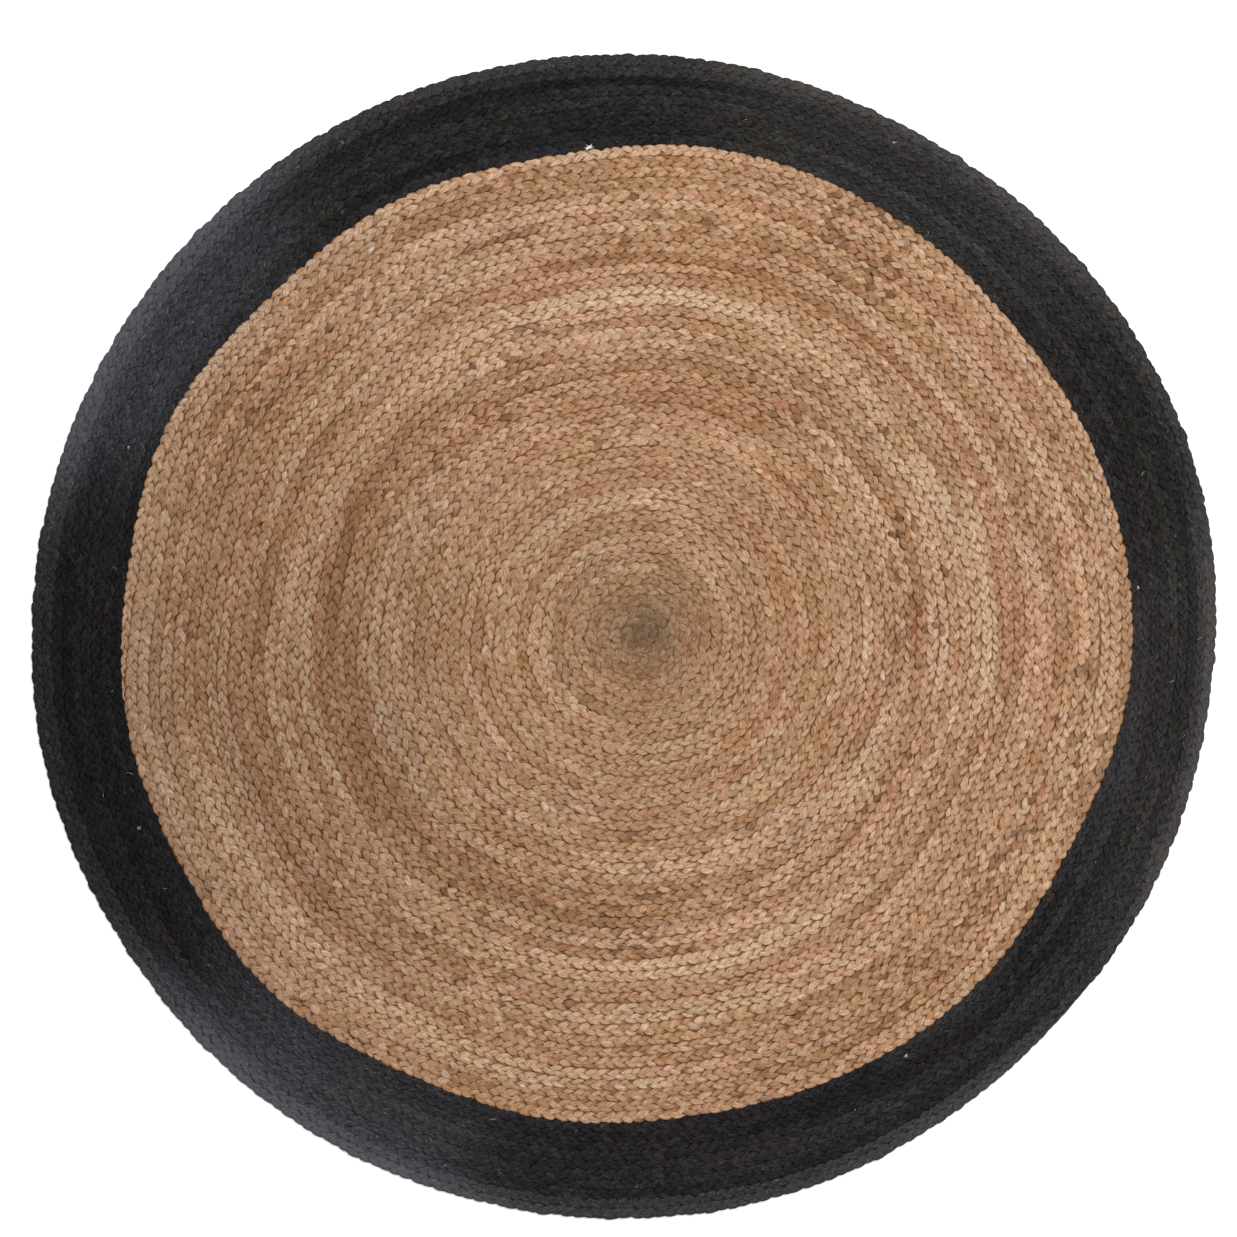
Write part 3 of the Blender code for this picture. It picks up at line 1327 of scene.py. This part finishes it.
@dataclass
class StrandPiece:
    """One strand of a braid, on every second turn or on all of them.

    Attributes:
        name: The piece's name.
        plait: How the braid is plaited.
        rings: The strand's rings.
        colour: A colour for each ring.
        turns: Which turns it holds, or None for all.
        usual_half_mm: Half its usual width and thickness, for the fibres that run around it.
        last_side: The length of the section's last side, in metres.
    """

    name: str
    plait: Plait
    rings: Rings
    colour: Array
    turns: Turns | None
    usual_half_mm: tuple[float, float] = (3.4, 2.4)
    last_side: float = 0.0042

    def spans(self) -> list[tuple[int, int]]:
        """Where the piece's lengths of strand begin and end.

        Returns:
            The first and last ring of each. Each break is under the other strands.
        """
        turn, last = self.rings.run.turn, len(self.rings.phase) - 1
        if self.turns is None:
            return [(0, last)]
        height = self.plait.lie(self.rings.phase)[1]
        under = np.nonzero(height < height.min() + 1e-3)[0]
        under = under[(under > 1) & (under < last - 1)]
        cuts = []
        for whole in range(1, math.ceil(turn[-1])):
            nearest = under[np.argmin(np.abs(turn[under] - whole))]
            if nearest not in cuts:
                cuts.append(int(nearest))
        edges = [0, *cuts, last]
        return [
            pair for n, pair in enumerate(zip(edges[:-1], edges[1:])) if n % 2 == self.turns.value
        ]

    def points(self) -> Array:
        """Where the section's points are at each ring.

        Returns:
            An x, y and z for each ring and point, none of them below the floor.
        """
        rings = self.rings
        across, up, _ = np.array(self.plait.section).T
        points = (
            rings.centre[:, None]
            + rings.sideways[:, None] * (across * rings.half_width[:, None])[..., None]
            + rings.upward[:, None] * (up * rings.half_thick[:, None])[..., None]
        )
        points[..., 2] = np.clip(points[..., 2], 0.0, None)
        return points

    def edge(self) -> Array:
        """How near to the painted dark edge of a leaf each point is: painted shade with dust.

        Returns:
            A share for each ring and point: 1 in the crease, and 0 or less out on the leaf.
        """
        _, up, edge = np.array(self.plait.section).T
        height = self.plait.lie(self.rings.phase)[1][:, None]
        edge = np.clip(edge + (CREASE_MID - CREASE_RISE * height * np.sign(up)), *CREASE_LIMITS)
        centre = self.rings.centre
        kept = 1 - MATTED_EDGES * MATTED.cover(centre) - TRODDEN_EDGES * trodden(centre)
        return edge * kept[:, None]

    def off_line(self, points: Array) -> Array:
        """How far each point is from the middle line of its row.

        Args:
            points: Where the section's points are.

        Returns:
            Braid widths for each ring and point, more where the joint between rows is painted dark
            with shade, and fewer where it closes up.
        """
        run = self.rings.run
        from_line = points[..., :2] - run.middle[:, None]
        off_line = np.abs((from_line * run.outward[:, None]).sum(axis=2)) / run.width[:, None]
        rng = np.random.default_rng(JOINT_SEED)
        drift = arc_drift(rng, run.turn, run.bearing, rows=1.2, arc_deg=14)
        joint = np.clip(JOINT_USUAL + JOINT_VARIES * drift, *JOINT_LIMITS)
        return off_line + (joint - JOINT_MATTED * MATTED.cover(self.rings.centre))[:, None]

    def build(self) -> bpy.types.Object:
        """Makes the piece's mesh.

        Returns:
            The object.
        """
        section, points = np.array(self.plait.section), self.points()
        sides = len(section)
        spans = self.spans()
        kept = np.concatenate([np.arange(first, last + 1) for first, last in spans])
        after = np.cumsum([last - first + 1 for first, last in spans])
        starts, ends = np.concatenate([[0], after[:-1]]), after - 1
        ring, side = np.delete(np.arange(len(kept)), ends)[:, None], np.arange(sides)
        ahead = (side + 1) % sides
        near, far = ring * sides, (ring + 1) * sides
        faces = np.stack([near + side, near + ahead, far + ahead, far + side], axis=-1)
        first_caps, last_caps = starts[:, None] * sides + side[::-1], ends[:, None] * sides + side
        wide, thick = self.usual_half_mm
        steps = np.hypot(np.diff(section[:, 0]) * wide, np.diff(section[:, 1]) * thick)
        around = np.concatenate([[0], np.cumsum(steps)]) / 1000
        around = np.append(around, around[-1] + self.last_side)
        along = metres_along(self.rings.centre)[kept]
        run = np.zeros((len(ring), sides, 4, 2))
        run[..., :2, 0], run[..., 2:, 0] = along[ring][..., None], along[ring + 1][..., None]
        run[..., 1] = np.stack([around[:-1], around[1:], around[1:], around[:-1]], axis=-1)
        values = {
            "tint": np.repeat(self.colour[:, None], sides, axis=1),
            "edge": self.edge(),
            "off_line": self.off_line(points),
        }
        return Skin(
            points=points[kept].reshape(-1, 3),
            faces=faces.reshape(-1, 4),
            caps=np.stack([first_caps, last_caps], axis=1).reshape(-1, sides),
            run=run.reshape(-1, 2),
            chart=self.chart(ends - starts),
            attributes={
                name: table[kept].reshape(-1, *table.shape[2:]) for name, table in values.items()
            },
        ).build(self.name)

    def chart(self, rows: Array) -> Array:
        """Lays the strand's skin out flat in columns of cells, one for each ring of faces.

        Args:
            rows: The number of rings of faces in each length.

        Returns:
            Places in the unit square for the corners of the side faces, and then of the end faces.
        """
        sides = len(self.plait.section)
        total = int(rows.sum()) + 2 * len(rows)
        columns = max(1, round(math.sqrt(total / (COLUMN_SHAPE * sides))))
        per_column = math.ceil(total / columns) + 1
        cell, tall = 1 / (columns * (sides + 0.4)), 1 / per_column
        used = np.concatenate([[0], np.cumsum(rows + 2)])

        def corner(cells: Array) -> tuple[Array, Array]:
            """The lower left corner of each cell."""
            return (cells // per_column) / columns + 0.2 * cell, (cells % per_column) * tall

        starts = zip(used[:-1], rows)
        left, low = corner(np.concatenate([np.arange(start, start + n) for start, n in starts]))
        x = left[:, None, None] + cell * (np.arange(sides)[:, None] + np.array([0, 1, 1, 0]))
        y = low[:, None, None] + tall * np.array([0, 0, 1, 1]) + 0 * x
        left, low = corner(np.stack([used[1:] - 2, used[1:] - 1], axis=1).ravel())
        turn = np.arange(sides) / sides * FULL_TURN
        cap_x = left[:, None] + cell * sides * (0.5 + 0.4 * np.cos(turn))
        cap_y = low[:, None] + tall * (0.5 + 0.35 * np.sin(turn))
        faces, caps = (np.stack(pair, axis=-1).reshape(-1, 2) for pair in ((x, y), (cap_x, cap_y)))
        return np.concatenate([faces, caps])


class Hairs(NamedTuple):
    """Loose hairs.

    Attributes:
        middle: The middle of each.
        heading: Its heading in radians.
        length: Its length in metres.
        radius: Its radius in metres.
        colour: Its colour.
    """

    middle: Array
    heading: Array
    length: Array
    radius: Array
    colour: Array


class Tuft(NamedTuple):
    """A tuft of lint caught in the rug.

    Attributes:
        bearing_deg: Its bearing from the coil's middle.
        reach_mm: Its reach.
        long_mm: Its length.
        hairs: The number of hairs in it.
        spread: How far its hairs are spread, in metres.
        radii: The radius of its thinnest and thickest hair, in metres.
    """

    bearing_deg: float
    reach_mm: float
    long_mm: float
    hairs: int
    spread: float = 0.0009
    radii: tuple[float, float] = (0.00022, 0.00036)

    def scatter(self, rng: Rng) -> Hairs:
        """Scatters its hairs.

        Args:
            rng: The seeded source of chance.

        Returns:
            The hairs.
        """
        centre = COIL_MIDDLE + spokes(math.radians(self.bearing_deg)) * self.reach_mm / 1000
        along_row = math.radians(self.bearing_deg + 90)
        return Hairs(
            middle=centre + rng.normal(0, 1, (self.hairs, 2)) * self.spread,
            heading=along_row + rng.normal(0.2, 0.35, self.hairs),
            length=self.long_mm / 1000 * rng.uniform(0.6, 1.1, self.hairs),
            radius=rng.uniform(*self.radii, self.hairs),
            colour=np.tile(Fibre.LINT.value, (self.hairs, 1)),
        )


TUFTS = (
    Tuft(96.3, 627, 12, 26),
    Tuft(125.2, 603, 13, 7),
    Tuft(255.1, 597, 9, 8),
    Tuft(5.4, 636, 8, 3),
    Tuft(302, 636, 8, 6),
    Tuft(63, 706, 6, 3),
    Tuft(201, 690, 6, 3),
    Tuft(160, 700, 5, 3),
)


@dataclass
class LooseFibres:
    """Hairs that have worked loose from a coil and lie on it, and tufts of lint.

    Attributes:
        name: The piece's name.
        plan: The coil that they lie on.
        count: The number of hairs all over.
        matted_count: The number of further hairs about the rug's middle.
        fibres: The fibres to choose from. An earlier one is as likely as all the later ones.
        tufts: Tufts of lint.
        seed: The seed of their places.
        usual_length: The usual length of a hair, in metres.
        lengths: The shortest and longest, as shares of it.
        radii: The radius of the thinnest and thickest hair, in metres.
        shades: The darkest and lightest, as shares of the fibre's colour.
        along_rows: The share of hairs that lie nearly along the rows.
        turned: How far those are turned from the rows, in radians.
        most_turned: How far the others may be.
        bent: How far a hair is bent, in radians.
        outer_margin: How far inside the coil's outer edge the middle of a hair stays, in metres.
        inner_margin: How far outside its inner edge.
        matted_spread: How far the further hairs are spread, in metres.
        lying_z: The height of a hair's ends, which are sunk in the braid, in metres.
        arch: How far its middle rises above them, in metres.
        arch_spread: How much further some rise.
        rings: The number of rings that each hair is drawn with.
        sides: The number of its sides.
    """

    name: str
    plan: CoilPlan
    count: int
    matted_count: int
    fibres: tuple[Fibre, ...]
    tufts: tuple[Tuft, ...]
    seed: int
    usual_length: float
    lengths: tuple[float, float] = (0.45, 2.1)
    radii: tuple[float, float] = (0.00008, 0.00016)
    shades: tuple[float, float] = (0.75, 1.25)
    along_rows: float = 0.75
    turned: float = 0.6
    most_turned: float = 2.0
    bent: float = 0.9
    outer_margin: float = 0.008
    inner_margin: float = 0.006
    matted_spread: float = 0.036
    lying_z: float = 0.0072
    arch: float = 0.0014
    arch_spread: float = 0.0006
    rings: int = 5
    sides: int = 3

    def scatter(self, rng: Rng) -> Hairs:
        """Scatters the hairs that lie all over the coil and about its middle.

        Args:
            rng: The seeded source of chance.

        Returns:
            The hairs.
        """
        bearing = rng.uniform(0, FULL_TURN, self.count)
        high = self.plan.outer.reach(bearing) - self.outer_margin
        inner = self.plan.inner
        low = inner.reach(bearing) + self.inner_margin if inner else np.zeros(self.count)
        reach = np.sqrt(rng.uniform(low**2, high**2))
        middle = COIL_MIDDLE + reach[:, None] * spokes(bearing)
        about_middle = rng.normal(0, self.matted_spread, (self.matted_count, 2))
        middle = np.concatenate([middle, COIL_MIDDLE + [MATTED.x, MATTED.y] + about_middle])
        count = len(middle)
        off = from_middle(middle)
        along_row = np.arctan2(off[:, 1], off[:, 0]) + math.pi / 2
        lies_along = rng.random(count) < self.along_rows
        nearly = rng.normal(0, self.turned, count)
        askew = rng.uniform(-self.most_turned, self.most_turned, count)
        heading = along_row + np.where(lies_along, nearly, askew)
        length = np.clip(np.exp(0.4 * rng.standard_normal(count)), *self.lengths)
        radius = rng.uniform(*self.radii, count)
        kinds = np.minimum(rng.geometric(0.5, count) - 1, len(self.fibres) - 1)
        colour = np.array([fibre.value for fibre in self.fibres])[kinds]
        colour = colour * rng.uniform(*self.shades, (count, 1))
        return Hairs(middle, heading, self.usual_length * length, radius, colour)

    def build(self) -> bpy.types.Object:
        """Makes the hairs.

        Returns:
            The object.
        """
        rng = np.random.default_rng(self.seed)
        batches = [self.scatter(rng), *(tuft.scatter(rng) for tuft in self.tufts)]
        return self.draw(rng, Hairs(*(np.concatenate(column) for column in zip(*batches))))

    def draw(self, rng: Rng, hairs: Hairs) -> bpy.types.Object:
        """Draws each hair as a thin bent tube, with its ends sunk in the braid.

        Args:
            rng: The seeded source of chance.
            hairs: The hairs.

        Returns:
            The object.
        """
        count, rings, sides = len(hairs.middle), self.rings, self.sides
        share = np.linspace(0, 1, rings)
        bend = rng.normal(0, self.bent, (count, 1))
        turning = hairs.heading[:, None] + bend * (share - 0.5)
        ahead = spokes(turning)
        path = np.cumsum(ahead * (hairs.length / (rings - 1))[:, None, None], axis=1)
        path += (hairs.middle - path[:, rings // 2])[:, None]
        arch = self.arch + self.arch_spread * rng.random((count, 1))
        height = self.lying_z + arch * np.sin(math.pi * share)
        centre = np.concatenate([path, height[..., None]], axis=-1)
        sideways = np.stack([ahead[..., 1], -ahead[..., 0], np.zeros_like(turning)], axis=-1)
        thick = hairs.radius[:, None] * (1 - 0.5 * np.abs(2 * share - 1))
        turns = (math.pi / 2 + FULL_TURN * np.arange(sides) / sides)[:, None]
        up = np.array([0, 0, 1.0])
        around = sideways[:, :, None] * np.cos(turns) + up * np.sin(turns)
        points = centre[:, :, None] + around * thick[..., None, None]
        number = np.arange(count * rings * sides).reshape(count, rings, sides)
        after = np.roll(number, -1, axis=2)
        faces = np.stack([number[:, :-1], after[:, :-1], after[:, 1:], number[:, 1:]], axis=-1)
        along = (share * hairs.length[:, None])[:, :, None, None]
        run = np.zeros((count, rings - 1, sides, 4, 2))
        run[..., :2, 0], run[..., 2:, 0] = along[:, :-1], along[:, 1:]
        run[..., 1] = (np.array([0, 1, 1, 0]) + np.arange(sides)[:, None]) * 0.0003
        return Skin(
            points=points.reshape(-1, 3),
            faces=faces.reshape(-1, 4),
            caps=np.concatenate([number[:, 0, ::-1], number[:, -1]]),
            run=run.reshape(-1, 2),
            chart=self.chart(count),
            attributes={"tint": np.repeat(hairs.colour, rings * sides, axis=0)},
        ).build(self.name)

    def chart(self, count: int) -> Array:
        """Lays each hair's skin out in its own cell of a grid.

        Args:
            count: The number of hairs.

        Returns:
            Places in the unit square for the corners of the side faces, and then of the end faces.
        """
        columns = math.ceil(math.sqrt(count))
        cell = 1 / columns
        number = np.arange(count)
        corner = np.stack([number % columns, number // columns], axis=1) * cell
        step, side = np.arange(self.rings - 1)[:, None, None], np.arange(self.sides)[:, None]
        x = (step + np.array([0, 0, 1, 1])) / (self.rings - 1) * 0.9 + 0 * side
        y = (side + np.array([0, 1, 1, 0])) / self.sides * 0.7 + 0 * step
        faces = corner[:, None] + cell * np.stack([x, y], axis=-1).reshape(-1, 2)
        ends = []
        for left in (0.05, 0.5):
            triangle = np.array([[left, 0.75], [left + 0.35, 0.75], [left + 0.15, 0.97]])
            ends.append((corner[:, None] + cell * triangle).reshape(-1, 2))
        return np.concatenate([faces.reshape(-1, 2), *ends])


@dataclass
class Heart:
    """The thin ridged sheet of packed fibre inside a coil of braid, which no light passes.

    Attributes:
        name: The piece's name.
        plan: How the coil is wound.
        tint: How its braid is coloured.
        finish: The sheet's finish.
        joint_z: Its height at the joints between the rows, in metres.
        ridge_z: Its height along the middle of the braid.
        rim_z: Its height along the coil's rim.
        matted_rise: How much higher it is where the braid is matted.
        thickness: Its thickness in metres.
        per_turn: The number of its faces a turn, on each side of the ridge.
    """

    name: str
    plan: CoilPlan
    tint: Tint
    finish: HeartFinish
    joint_z: float = 0.0061
    ridge_z: float = 0.0054
    rim_z: float = 0.0030
    matted_rise: float = 0.0009
    thickness: float = 0.0018
    per_turn: int = 48

    def build(self) -> bpy.types.Object:
        """Makes the sheet.

        Returns:
            The object.
        """
        plan, per_turn = self.plan, self.per_turn
        steps = round(plan.turns * per_turn)
        turn = np.linspace(0, plan.turns, steps + 1)
        joint = plan.place(turn, plan.inner_row(turn))
        if plan.inner is None:
            joint[:per_turn] = COIL_MIDDLE
        ridge = plan.place(turn, (plan.inner_row(turn) + plan.outer_row(turn)) / 2)
        last = turn[-1] - 1 + np.arange(1, per_turn + 1) / per_turn
        rim = plan.place(last, plan.outer_row(last))
        points = np.concatenate([joint, ridge, rim])
        lines = ((joint, self.joint_z), (ridge, self.ridge_z), (rim, self.rim_z))
        heights = np.concatenate([np.full(len(line), height) for line, height in lines])
        if plan.inner is None:
            heights += self.matted_rise * MATTED.cover(points)

        def outer(i: int) -> int:
            """The number of the point on the outer side at a step."""
            return i + per_turn if i + per_turn <= steps else i + per_turn + steps + 1

        faces = []
        for i in range(steps):
            faces.append((i, steps + 1 + i, steps + 2 + i, i + 1))
            faces.append((steps + 1 + i, outer(i), outer(i + 1), steps + 2 + i))
        if plan.inner is None:
            faces.append((0, per_turn, steps + 1))
        mesh = bpy.data.meshes.new(self.name)
        mesh.from_pydata(np.column_stack([points, heights]).tolist(), [], faces)
        self.merge_points(mesh)
        self.stain(mesh)
        mesh.materials.append(self.finish.material())
        mesh.polygons.foreach_set("use_smooth", np.ones(len(mesh.polygons), bool))
        piece = add_object(mesh)
        thickness = piece.modifiers.new("thickness", "SOLIDIFY")
        thickness.thickness = self.thickness
        thickness.offset = -1.0
        return piece

    @staticmethod
    def merge_points(mesh: bpy.types.Mesh) -> None:
        """Joins points that lie in one place, drops faces with no area, and turns the rest upwards.

        Args:
            mesh: The mesh to clean.
        """
        work = bmesh.new()
        work.from_mesh(mesh)
        bmesh.ops.remove_doubles(work, verts=work.verts, dist=1e-5)
        bmesh.ops.dissolve_degenerate(work, edges=work.edges, dist=1e-6)
        bmesh.ops.recalc_face_normals(work, faces=work.faces)
        if sum(face.normal.z for face in work.faces) < 0:
            bmesh.ops.reverse_faces(work, faces=work.faces)
        work.to_mesh(mesh)
        work.free()

    def stain(self, mesh: bpy.types.Mesh) -> None:
        """Colours the sheet, which takes the painted glare and the soil of the braid over it.

        Args:
            mesh: Its mesh.
        """
        places = np.empty(len(mesh.vertices) * 3, np.float32)
        mesh.vertices.foreach_get("co", places)
        points = places.reshape(-1, 3).astype(float)
        plain = np.array(self.finish.fibre.value) * self.finish.share
        colour = np.tile(plain, (len(points), 1))
        # Painted glare of the braid over it.
        for streak in self.tint.streaks:
            if streak.fibre in (Fibre.GREY_AND_GLARE, Fibre.DUST_AND_GLARE):
                colour = mix(colour, streak.fibre, streak.cover(points))
        if self.tint.soiled:
            colour = mix(colour, Fibre.TAN, 0.5 * MATTED.cover(points))
            colour = self.tint.soil(colour, points)
        write_attribute(mesh, "tint", colour)


@dataclass
class BraidedCoil:
    """A coil of braid: its three strands, the packed fibre inside them and loose fibres on top.

    Attributes:
        name: The name that its pieces start with.
        node: The CAD node that it stands for.
        slot: The name of its material slot; not used.
        plan: How it is wound.
        plait: How it is plaited.
        tint: How it is coloured.
        finish: Its strands' finish.
        heart: The finish of the fibre inside the braid.
        loose: The loose fibres on it.
        halves: Whether each strand is made in two pieces.
        flat: The width and length of the coil, laid out flat, in metres; not used.
        area: Its flat area in square metres; not used.
    """

    name: str
    node: str
    slot: str
    plan: CoilPlan
    plait: Plait
    tint: Tint
    finish: JuteFinish
    heart: HeartFinish
    loose: LooseFibres
    halves: bool
    flat: tuple[float, float]
    area: float

    def build(self, floor: bpy.types.Object) -> None:
        """Builds and dresses the coil.

        Args:
            floor: What the rug lies on; not used.
        """
        run = self.plan.run()
        finish = self.finish.material()
        upper = []
        for strand in range(STRANDS):
            rings = lay_strand(self.plait, run, strand, self.plan.seed)
            colour = self.tint.paint(rings, strand)
            for turns in (Turns.ODD, Turns.EVEN) if self.halves else (None,):
                ending = f"_{turns.name.lower()}_turns" if turns else ""
                name = f"{self.name}_strand_{strand + 1}{ending}"
                upper.append(StrandPiece(name, self.plait, rings, colour, turns).build())
        upper.append(self.loose.build())
        for piece in upper:
            piece.data.materials.append(finish)
            self.settle(piece)
        heart = Heart(f"{self.name}_heart", self.plan, self.tint, self.heart).build()
        self.settle(heart)
        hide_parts(self.node)
        width = float(np.median(run.width)) * 1000
        log.info("%s: %.1f m of braid, %.1f mm wide", self.name, run.length, width)

    def settle(self, piece: bpy.types.Object) -> None:
        """Makes a piece ride on the rug and reports it.

        Args:
            piece: The piece.
        """
        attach(piece, BODY)
        log.info("%s: %d faces", piece.name, len(piece.data.polygons))


@dataclass(frozen=True)
class Studio:
    """A pale floor, soft light and a camera straight above.

    Attributes:
        view_middle: The point of the floor at the middle of the picture.
        view_width: The width of floor that the picture shows, in metres.
        camera_height: The camera's height, in metres.
        sensor_mm: The width of its sensor.
        dome: The brightness of the light from all sides.
        key_power: The power of the soft light above the rug's upper right, in watts.
        key_size: The width of that light, in metres.
        key_place: Where it hangs.
        floor_half: Half the floor's width, in metres.
        floor_drop: How far the floor is below the rug, in metres.
        floor_white: How white it is.
    """

    view_middle: tuple[float, float] = (-0.0070, 0.0230)
    view_width: float = 1.584
    camera_height: float = 6.0
    sensor_mm: float = 36.0
    dome: float = 0.62
    key_power: float = 430.0
    key_size: float = 4.4
    key_place: tuple[float, float, float] = (0.9, 1.3, 6.4)
    floor_half: float = 9.0
    floor_drop: float = 0.0002
    floor_white: float = 0.93

    def build(self) -> bpy.types.Object:
        """Sets the studio up.

        Returns:
            The floor.
        """
        self.light()
        self.camera()
        return self.floor()

    def camera(self) -> None:
        """Puts the camera straight above the rug."""
        data = bpy.data.cameras.new("camera")
        data.sensor_width = self.sensor_mm
        data.lens = self.sensor_mm * self.camera_height / self.view_width
        camera = add_object(data)
        camera.location = (*self.view_middle, self.camera_height)
        bpy.context.scene.camera = camera
        bpy.context.scene.view_settings.view_transform = "Standard"

    def light(self) -> None:
        """Adds the light from all sides and the soft key light."""
        world = bpy.data.worlds.new("studio")
        world.use_nodes = True
        background = world.node_tree.nodes["Background"]
        background.inputs["Color"].default_value = (1, 1, 1, 1)
        background.inputs["Strength"].default_value = self.dome
        bpy.context.scene.world = world
        data = bpy.data.lights.new("key", "AREA")
        data.shape = "DISK"
        data.size = self.key_size
        data.energy = self.key_power
        key = add_object(data)
        key.location = self.key_place
        x, y, z = key.location
        tilt = math.acos(z / math.hypot(x, y, z))
        key.rotation_euler = (tilt, 0, math.atan2(-y, -x) - math.pi / 2)

    def floor(self) -> bpy.types.Object:
        """Makes the pale floor.

        Returns:
            The floor.
        """
        mesh = bpy.data.meshes.new("floor")
        half = self.floor_half
        corners = [(-half, -half, 0), (half, -half, 0), (half, half, 0), (-half, half, 0)]
        mesh.from_pydata(corners, [], [(0, 1, 2, 3)])
        material, tree, shader = new_material("pale_floor")
        grain = tree.noise(tree.node("ShaderNodeTexCoord").outputs["Object"], 60.0, 3.0)
        shader.inputs["Base Color"].default_value = (*(self.floor_white,) * 3, 1)
        tree.link(tree.ranged(grain, *NOISE_RANGE, 0.85, 0.95), shader.inputs["Roughness"])
        shader.inputs["Specular IOR Level"].default_value = 0.2
        mesh.materials.append(material)
        floor = add_object(mesh)
        floor.location.z = -self.floor_drop
        return floor


def natural_coil() -> BraidedCoil:
    """The disc of natural braid.

    Returns:
        The coil, ready to build.
    """
    return BraidedCoil(
        name="natural",
        node="natural_coil",
        slot="natural_jute",
        plan=NATURAL_PLAN,
        plait=Plait(period=0.0441, usual_width=0.0140, tightness=0.32),
        tint=Tint(
            base=Fibre.TAN,
            streaks=STREAKS,
            seed=31,
            depth=0.185,
            fade=(0.70, 1.0, 1.34),
            pinkness=0.031,
            warmth=0.034,
            shaded_side=ShadedSide(bearing_deg=193, wide_deg=48, share=0.32, from_row=6),
            soiled=True,
            specks=0.75,
            rim_glare=0.0,
        ),
        finish=JuteFinish(
            name="natural_jute_strand",
            roughness=0.82,
            sheen=0.02,
            specular=0.04,
            fibre_contrast=0.36,
            pale_fibres=1.28,
            crease=0.32,
            relief=0.00040,
            fade=(0.68, 1.0, 1.42),
            joint=0.6,
            deep=0.84,
            mottle=0.2,
        ),
        heart=HeartFinish("natural_jute_heart", Fibre.BROWN, 1.8),
        loose=LooseFibres(
            name="natural_loose_fibres",
            plan=NATURAL_PLAN,
            count=1150,
            matted_count=420,
            fibres=(Fibre.STRAW, Fibre.TAN, Fibre.BROWN, Fibre.STRAW),
            tufts=(),
            seed=61,
            usual_length=0.012,
        ),
        halves=True,
        flat=(1.294, 1.251),
        area=1.267,
    )


def black_coil() -> BraidedCoil:
    """The ring of black braid.

    Returns:
        The coil, ready to build.
    """
    return BraidedCoil(
        name="black",
        node="black_coil",
        slot="black_jute",
        plan=BLACK_PLAN,
        plait=Plait(period=0.0426, usual_width=0.0123, rim_tuck=0.2),
        tint=Tint(
            base=Fibre.BLACK,
            streaks=GLARE_HAZES,
            seed=47,
            depth=0.26,
            fade=(1.0, 1.0, 1.0),
            pinkness=0.075,
            warmth=0.12,
            shaded_side=ShadedSide(bearing_deg=190, wide_deg=32, share=0.50, from_row=-20),
            soiled=False,
            specks=0.0,
            rim_glare=0.16,
        ),
        finish=JuteFinish(
            name="black_jute_strand",
            roughness=0.66,
            sheen=0.0,
            specular=0.05,
            fibre_contrast=0.45,
            pale_fibres=2.2,
            crease=0.90,
            relief=0.00035,
            fade=(1.0, 1.0, 1.0),
            joint=0.97,
            deep=0.95,
            mottle=0.30,
            glints=2.3,
            glare_red=0.045,
            fineness=1.4,
        ),
        heart=HeartFinish("black_jute_heart", Fibre.BLACK, 0.8),
        loose=LooseFibres(
            name="black_loose_fibres",
            plan=BLACK_PLAN,
            count=520,
            matted_count=0,
            fibres=(Fibre.BLACK, Fibre.GREY_AND_GLARE, Fibre.BLACK, Fibre.DUST_AND_GLARE, Fibre.LINT),
            tufts=TUFTS,
            seed=62,
            usual_length=0.007,
        ),
        halves=False,
        flat=(0.115, 4.40),
        area=0.506,
    )


def main() -> None:
    """Builds the studio and the rug."""
    logging.basicConfig(level=logging.INFO, format="%(name)s: %(message)s")
    floor = Studio().build()
    for coil in (natural_coil(), black_coil()):
        coil.build(floor)


if __name__ == "__main__":
    main()
